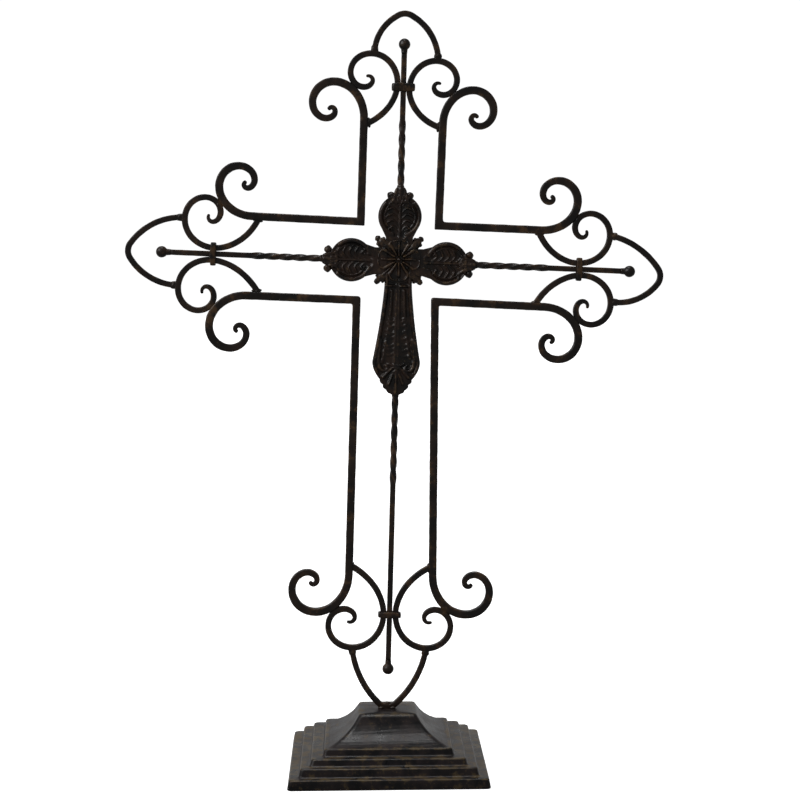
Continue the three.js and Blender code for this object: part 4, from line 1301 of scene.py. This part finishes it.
@dataclass(frozen=True)
class Studio:
    """A white floor, soft light, and a camera at the fitted viewpoint, in metres, degrees and watts."""

    place: tuple[float, float, float] = (-0.0273, -1.929, 0.527)
    pan: float = 1.24
    pitch: float = 4.62
    roll: float = -0.28
    lens: float = 86.805
    floor_half: float = 12.0
    surround: float = 0.17
    behind: float = 0.31
    overhead: float = 0.25
    above: float = 1.35
    above_angle: float = 24.0
    key: float = 30.0
    key_size: float = 1.6
    floor_glow: float = 0.8
    horizon_fade: tuple[float, float] = (0.7, 0.15)
    behind_fade: tuple[float, float] = (0.1, 0.8)
    overhead_fade: tuple[float, float] = (0.86, 0.97)
    white: float = 1.05
    above_place: tuple[float, float, float] = (-0.2, 0.22, 1.7)
    key_place: tuple[float, float, float] = (-2.0, -1.1, 1.9)
    key_aim: float = 0.45

    def build_floor(self) -> bpy.types.Object:
        """Makes a wide pale floor of matt paper."""
        half = self.floor_half
        mesh = bpy.data.meshes.new("floor")
        corners = [(-half, -half, 0), (half, -half, 0), (half, half, 0), (-half, half, 0)]
        mesh.from_pydata(corners, [], [(0, 1, 2, 3)])
        material = bpy.data.materials.new("matt_white_paper")
        material.use_nodes = True
        shader = material.node_tree.nodes["Principled BSDF"]
        shader.inputs["Base Color"].default_value = linear("#f7f7f7")
        shader.inputs["Roughness"].default_value = 0.9
        shader.inputs["Specular IOR Level"].default_value = 0.1
        shader.inputs["Emission Color"].default_value = (1, 1, 1, 1)
        shader.inputs["Emission Strength"].default_value = self.floor_glow
        mesh.materials.append(material)
        floor = bpy.data.objects.new("floor", mesh)
        bpy.context.scene.collection.objects.link(floor)
        floor.visible_glossy = False
        floor.visible_diffuse = False
        return floor

    def build_light(self) -> None:
        """Makes a surround that is seen white, a broad light overhead and one soft lamp.

        The surround lights with a dim level, and with more near the horizon behind the cross and overhead.
        """
        world = bpy.data.worlds.new("white_surround")
        world.use_nodes = True
        tree = world.node_tree
        add = partial(add_node, tree)
        seen = add("ShaderNodeLightPath").outputs["Is Camera Ray"]
        direction = add("ShaderNodeTexCoord").outputs["Generated"]
        parts = add("ShaderNodeSeparateXYZ", {"Vector": direction}).outputs
        low, behind, overhead = (
            add(
                "ShaderNodeMapRange",
                {"Value": parts[axis], "From Min": fade[0], "From Max": fade[1], "To Max": level},
                interpolation_type="SMOOTHSTEP",
            ).outputs["Result"]
            for axis, fade, level in (
                ("Z", self.horizon_fade, 1.0),
                ("Y", self.behind_fade, self.behind),
                ("Z", self.overhead_fade, self.overhead),
            )
        )
        horizon = add("ShaderNodeMath", {0: low, 1: behind}, operation="MULTIPLY").outputs[0]
        both_parts = add("ShaderNodeMath", {0: horizon, 1: overhead}, operation="ADD").outputs[0]
        lit = add("ShaderNodeMath", {0: both_parts, 1: self.surround}, operation="ADD").outputs[0]
        share = add("ShaderNodeMapRange", {"Value": seen, "To Min": lit, "To Max": self.white})
        background = tree.nodes["Background"]
        background.inputs["Color"].default_value = (1, 1, 1, 1)
        tree.links.new(share.outputs["Result"], background.inputs["Strength"])
        bpy.context.scene.world = world
        above = bpy.data.lights.new("above", "SUN")
        above.energy = self.above
        above.angle = math.radians(self.above_angle)
        key = bpy.data.lights.new("key", "AREA")
        key.energy = self.key
        key.size = self.key_size
        for lamp, place, aim in ((above, self.above_place, 0.0), (key, self.key_place, self.key_aim)):
            holder = bpy.data.objects.new(lamp.name, lamp)
            holder.location = place
            toward = np.array([0, 0, aim]) - np.array(place)
            tilt = math.atan2(math.hypot(toward[0], toward[1]), -toward[2])
            holder.rotation_euler = (tilt, 0, math.atan2(-toward[0], toward[1]))
            bpy.context.scene.collection.objects.link(holder)

    def build_camera(self) -> None:
        """Makes the camera from its place, pan, pitch and roll."""
        pan, pitch, roll = (math.radians(angle) for angle in (self.pan, self.pitch, self.roll))
        level = math.cos(pitch)
        forward = np.array([math.sin(pan) * level, math.cos(pan) * level, -math.sin(pitch)])
        right = np.array([math.cos(pan), -math.sin(pan), 0])
        up = np.cross(right, forward)
        turned_right = right * math.cos(roll) + up * math.sin(roll)
        turned_up = up * math.cos(roll) - right * math.sin(roll)
        matrix = np.eye(4)
        matrix[:3, :3] = np.column_stack([turned_right, turned_up, -forward])
        matrix[:3, 3] = self.place
        camera = bpy.data.cameras.new("camera")
        camera.sensor_width = 36
        camera.lens = self.lens
        camera.clip_end = 60
        holder = bpy.data.objects.new("camera", camera)
        bpy.context.scene.collection.objects.link(holder)
        holder.matrix_world = Matrix(matrix.tolist())
        bpy.context.scene.camera = holder

    def build(self) -> None:
        """Makes the whole setting."""
        self.build_floor()
        self.build_light()
        self.build_camera()
        bpy.context.scene.view_settings.view_transform = "Standard"


def main() -> None:
    """Builds the setting and the cross, piece by piece."""
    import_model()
    Studio().build()
    SteppedBase().build(3)
    crests: dict[str, dict[int, np.ndarray]] = {name: {} for name in ARMS}
    for number, (name, corner) in enumerate(CORNERS.items()):
        bar = CornerBar(name, corner)
        bar.build(10 + number)
        for leg in corner.legs:
            _, crest = InnerScroll(leg, bar).build(100 + 10 * number + leg.side)
            crests[leg.arm][leg.side] = crest
    for number, (name, arm) in enumerate(ARMS.items()):
        PointedArch(arm).build(crests[name], 200 + 20 * number)
        rod = BallEndedRod(arm)
        rod.build_rod(300 + number)
        rod.build_ball(320 + number)
        Collar(arm).build(number)
    Centrepiece().build(400)


if __name__ == "__main__":
    logging.basicConfig(level=logging.INFO, format="%(message)s")
    main()
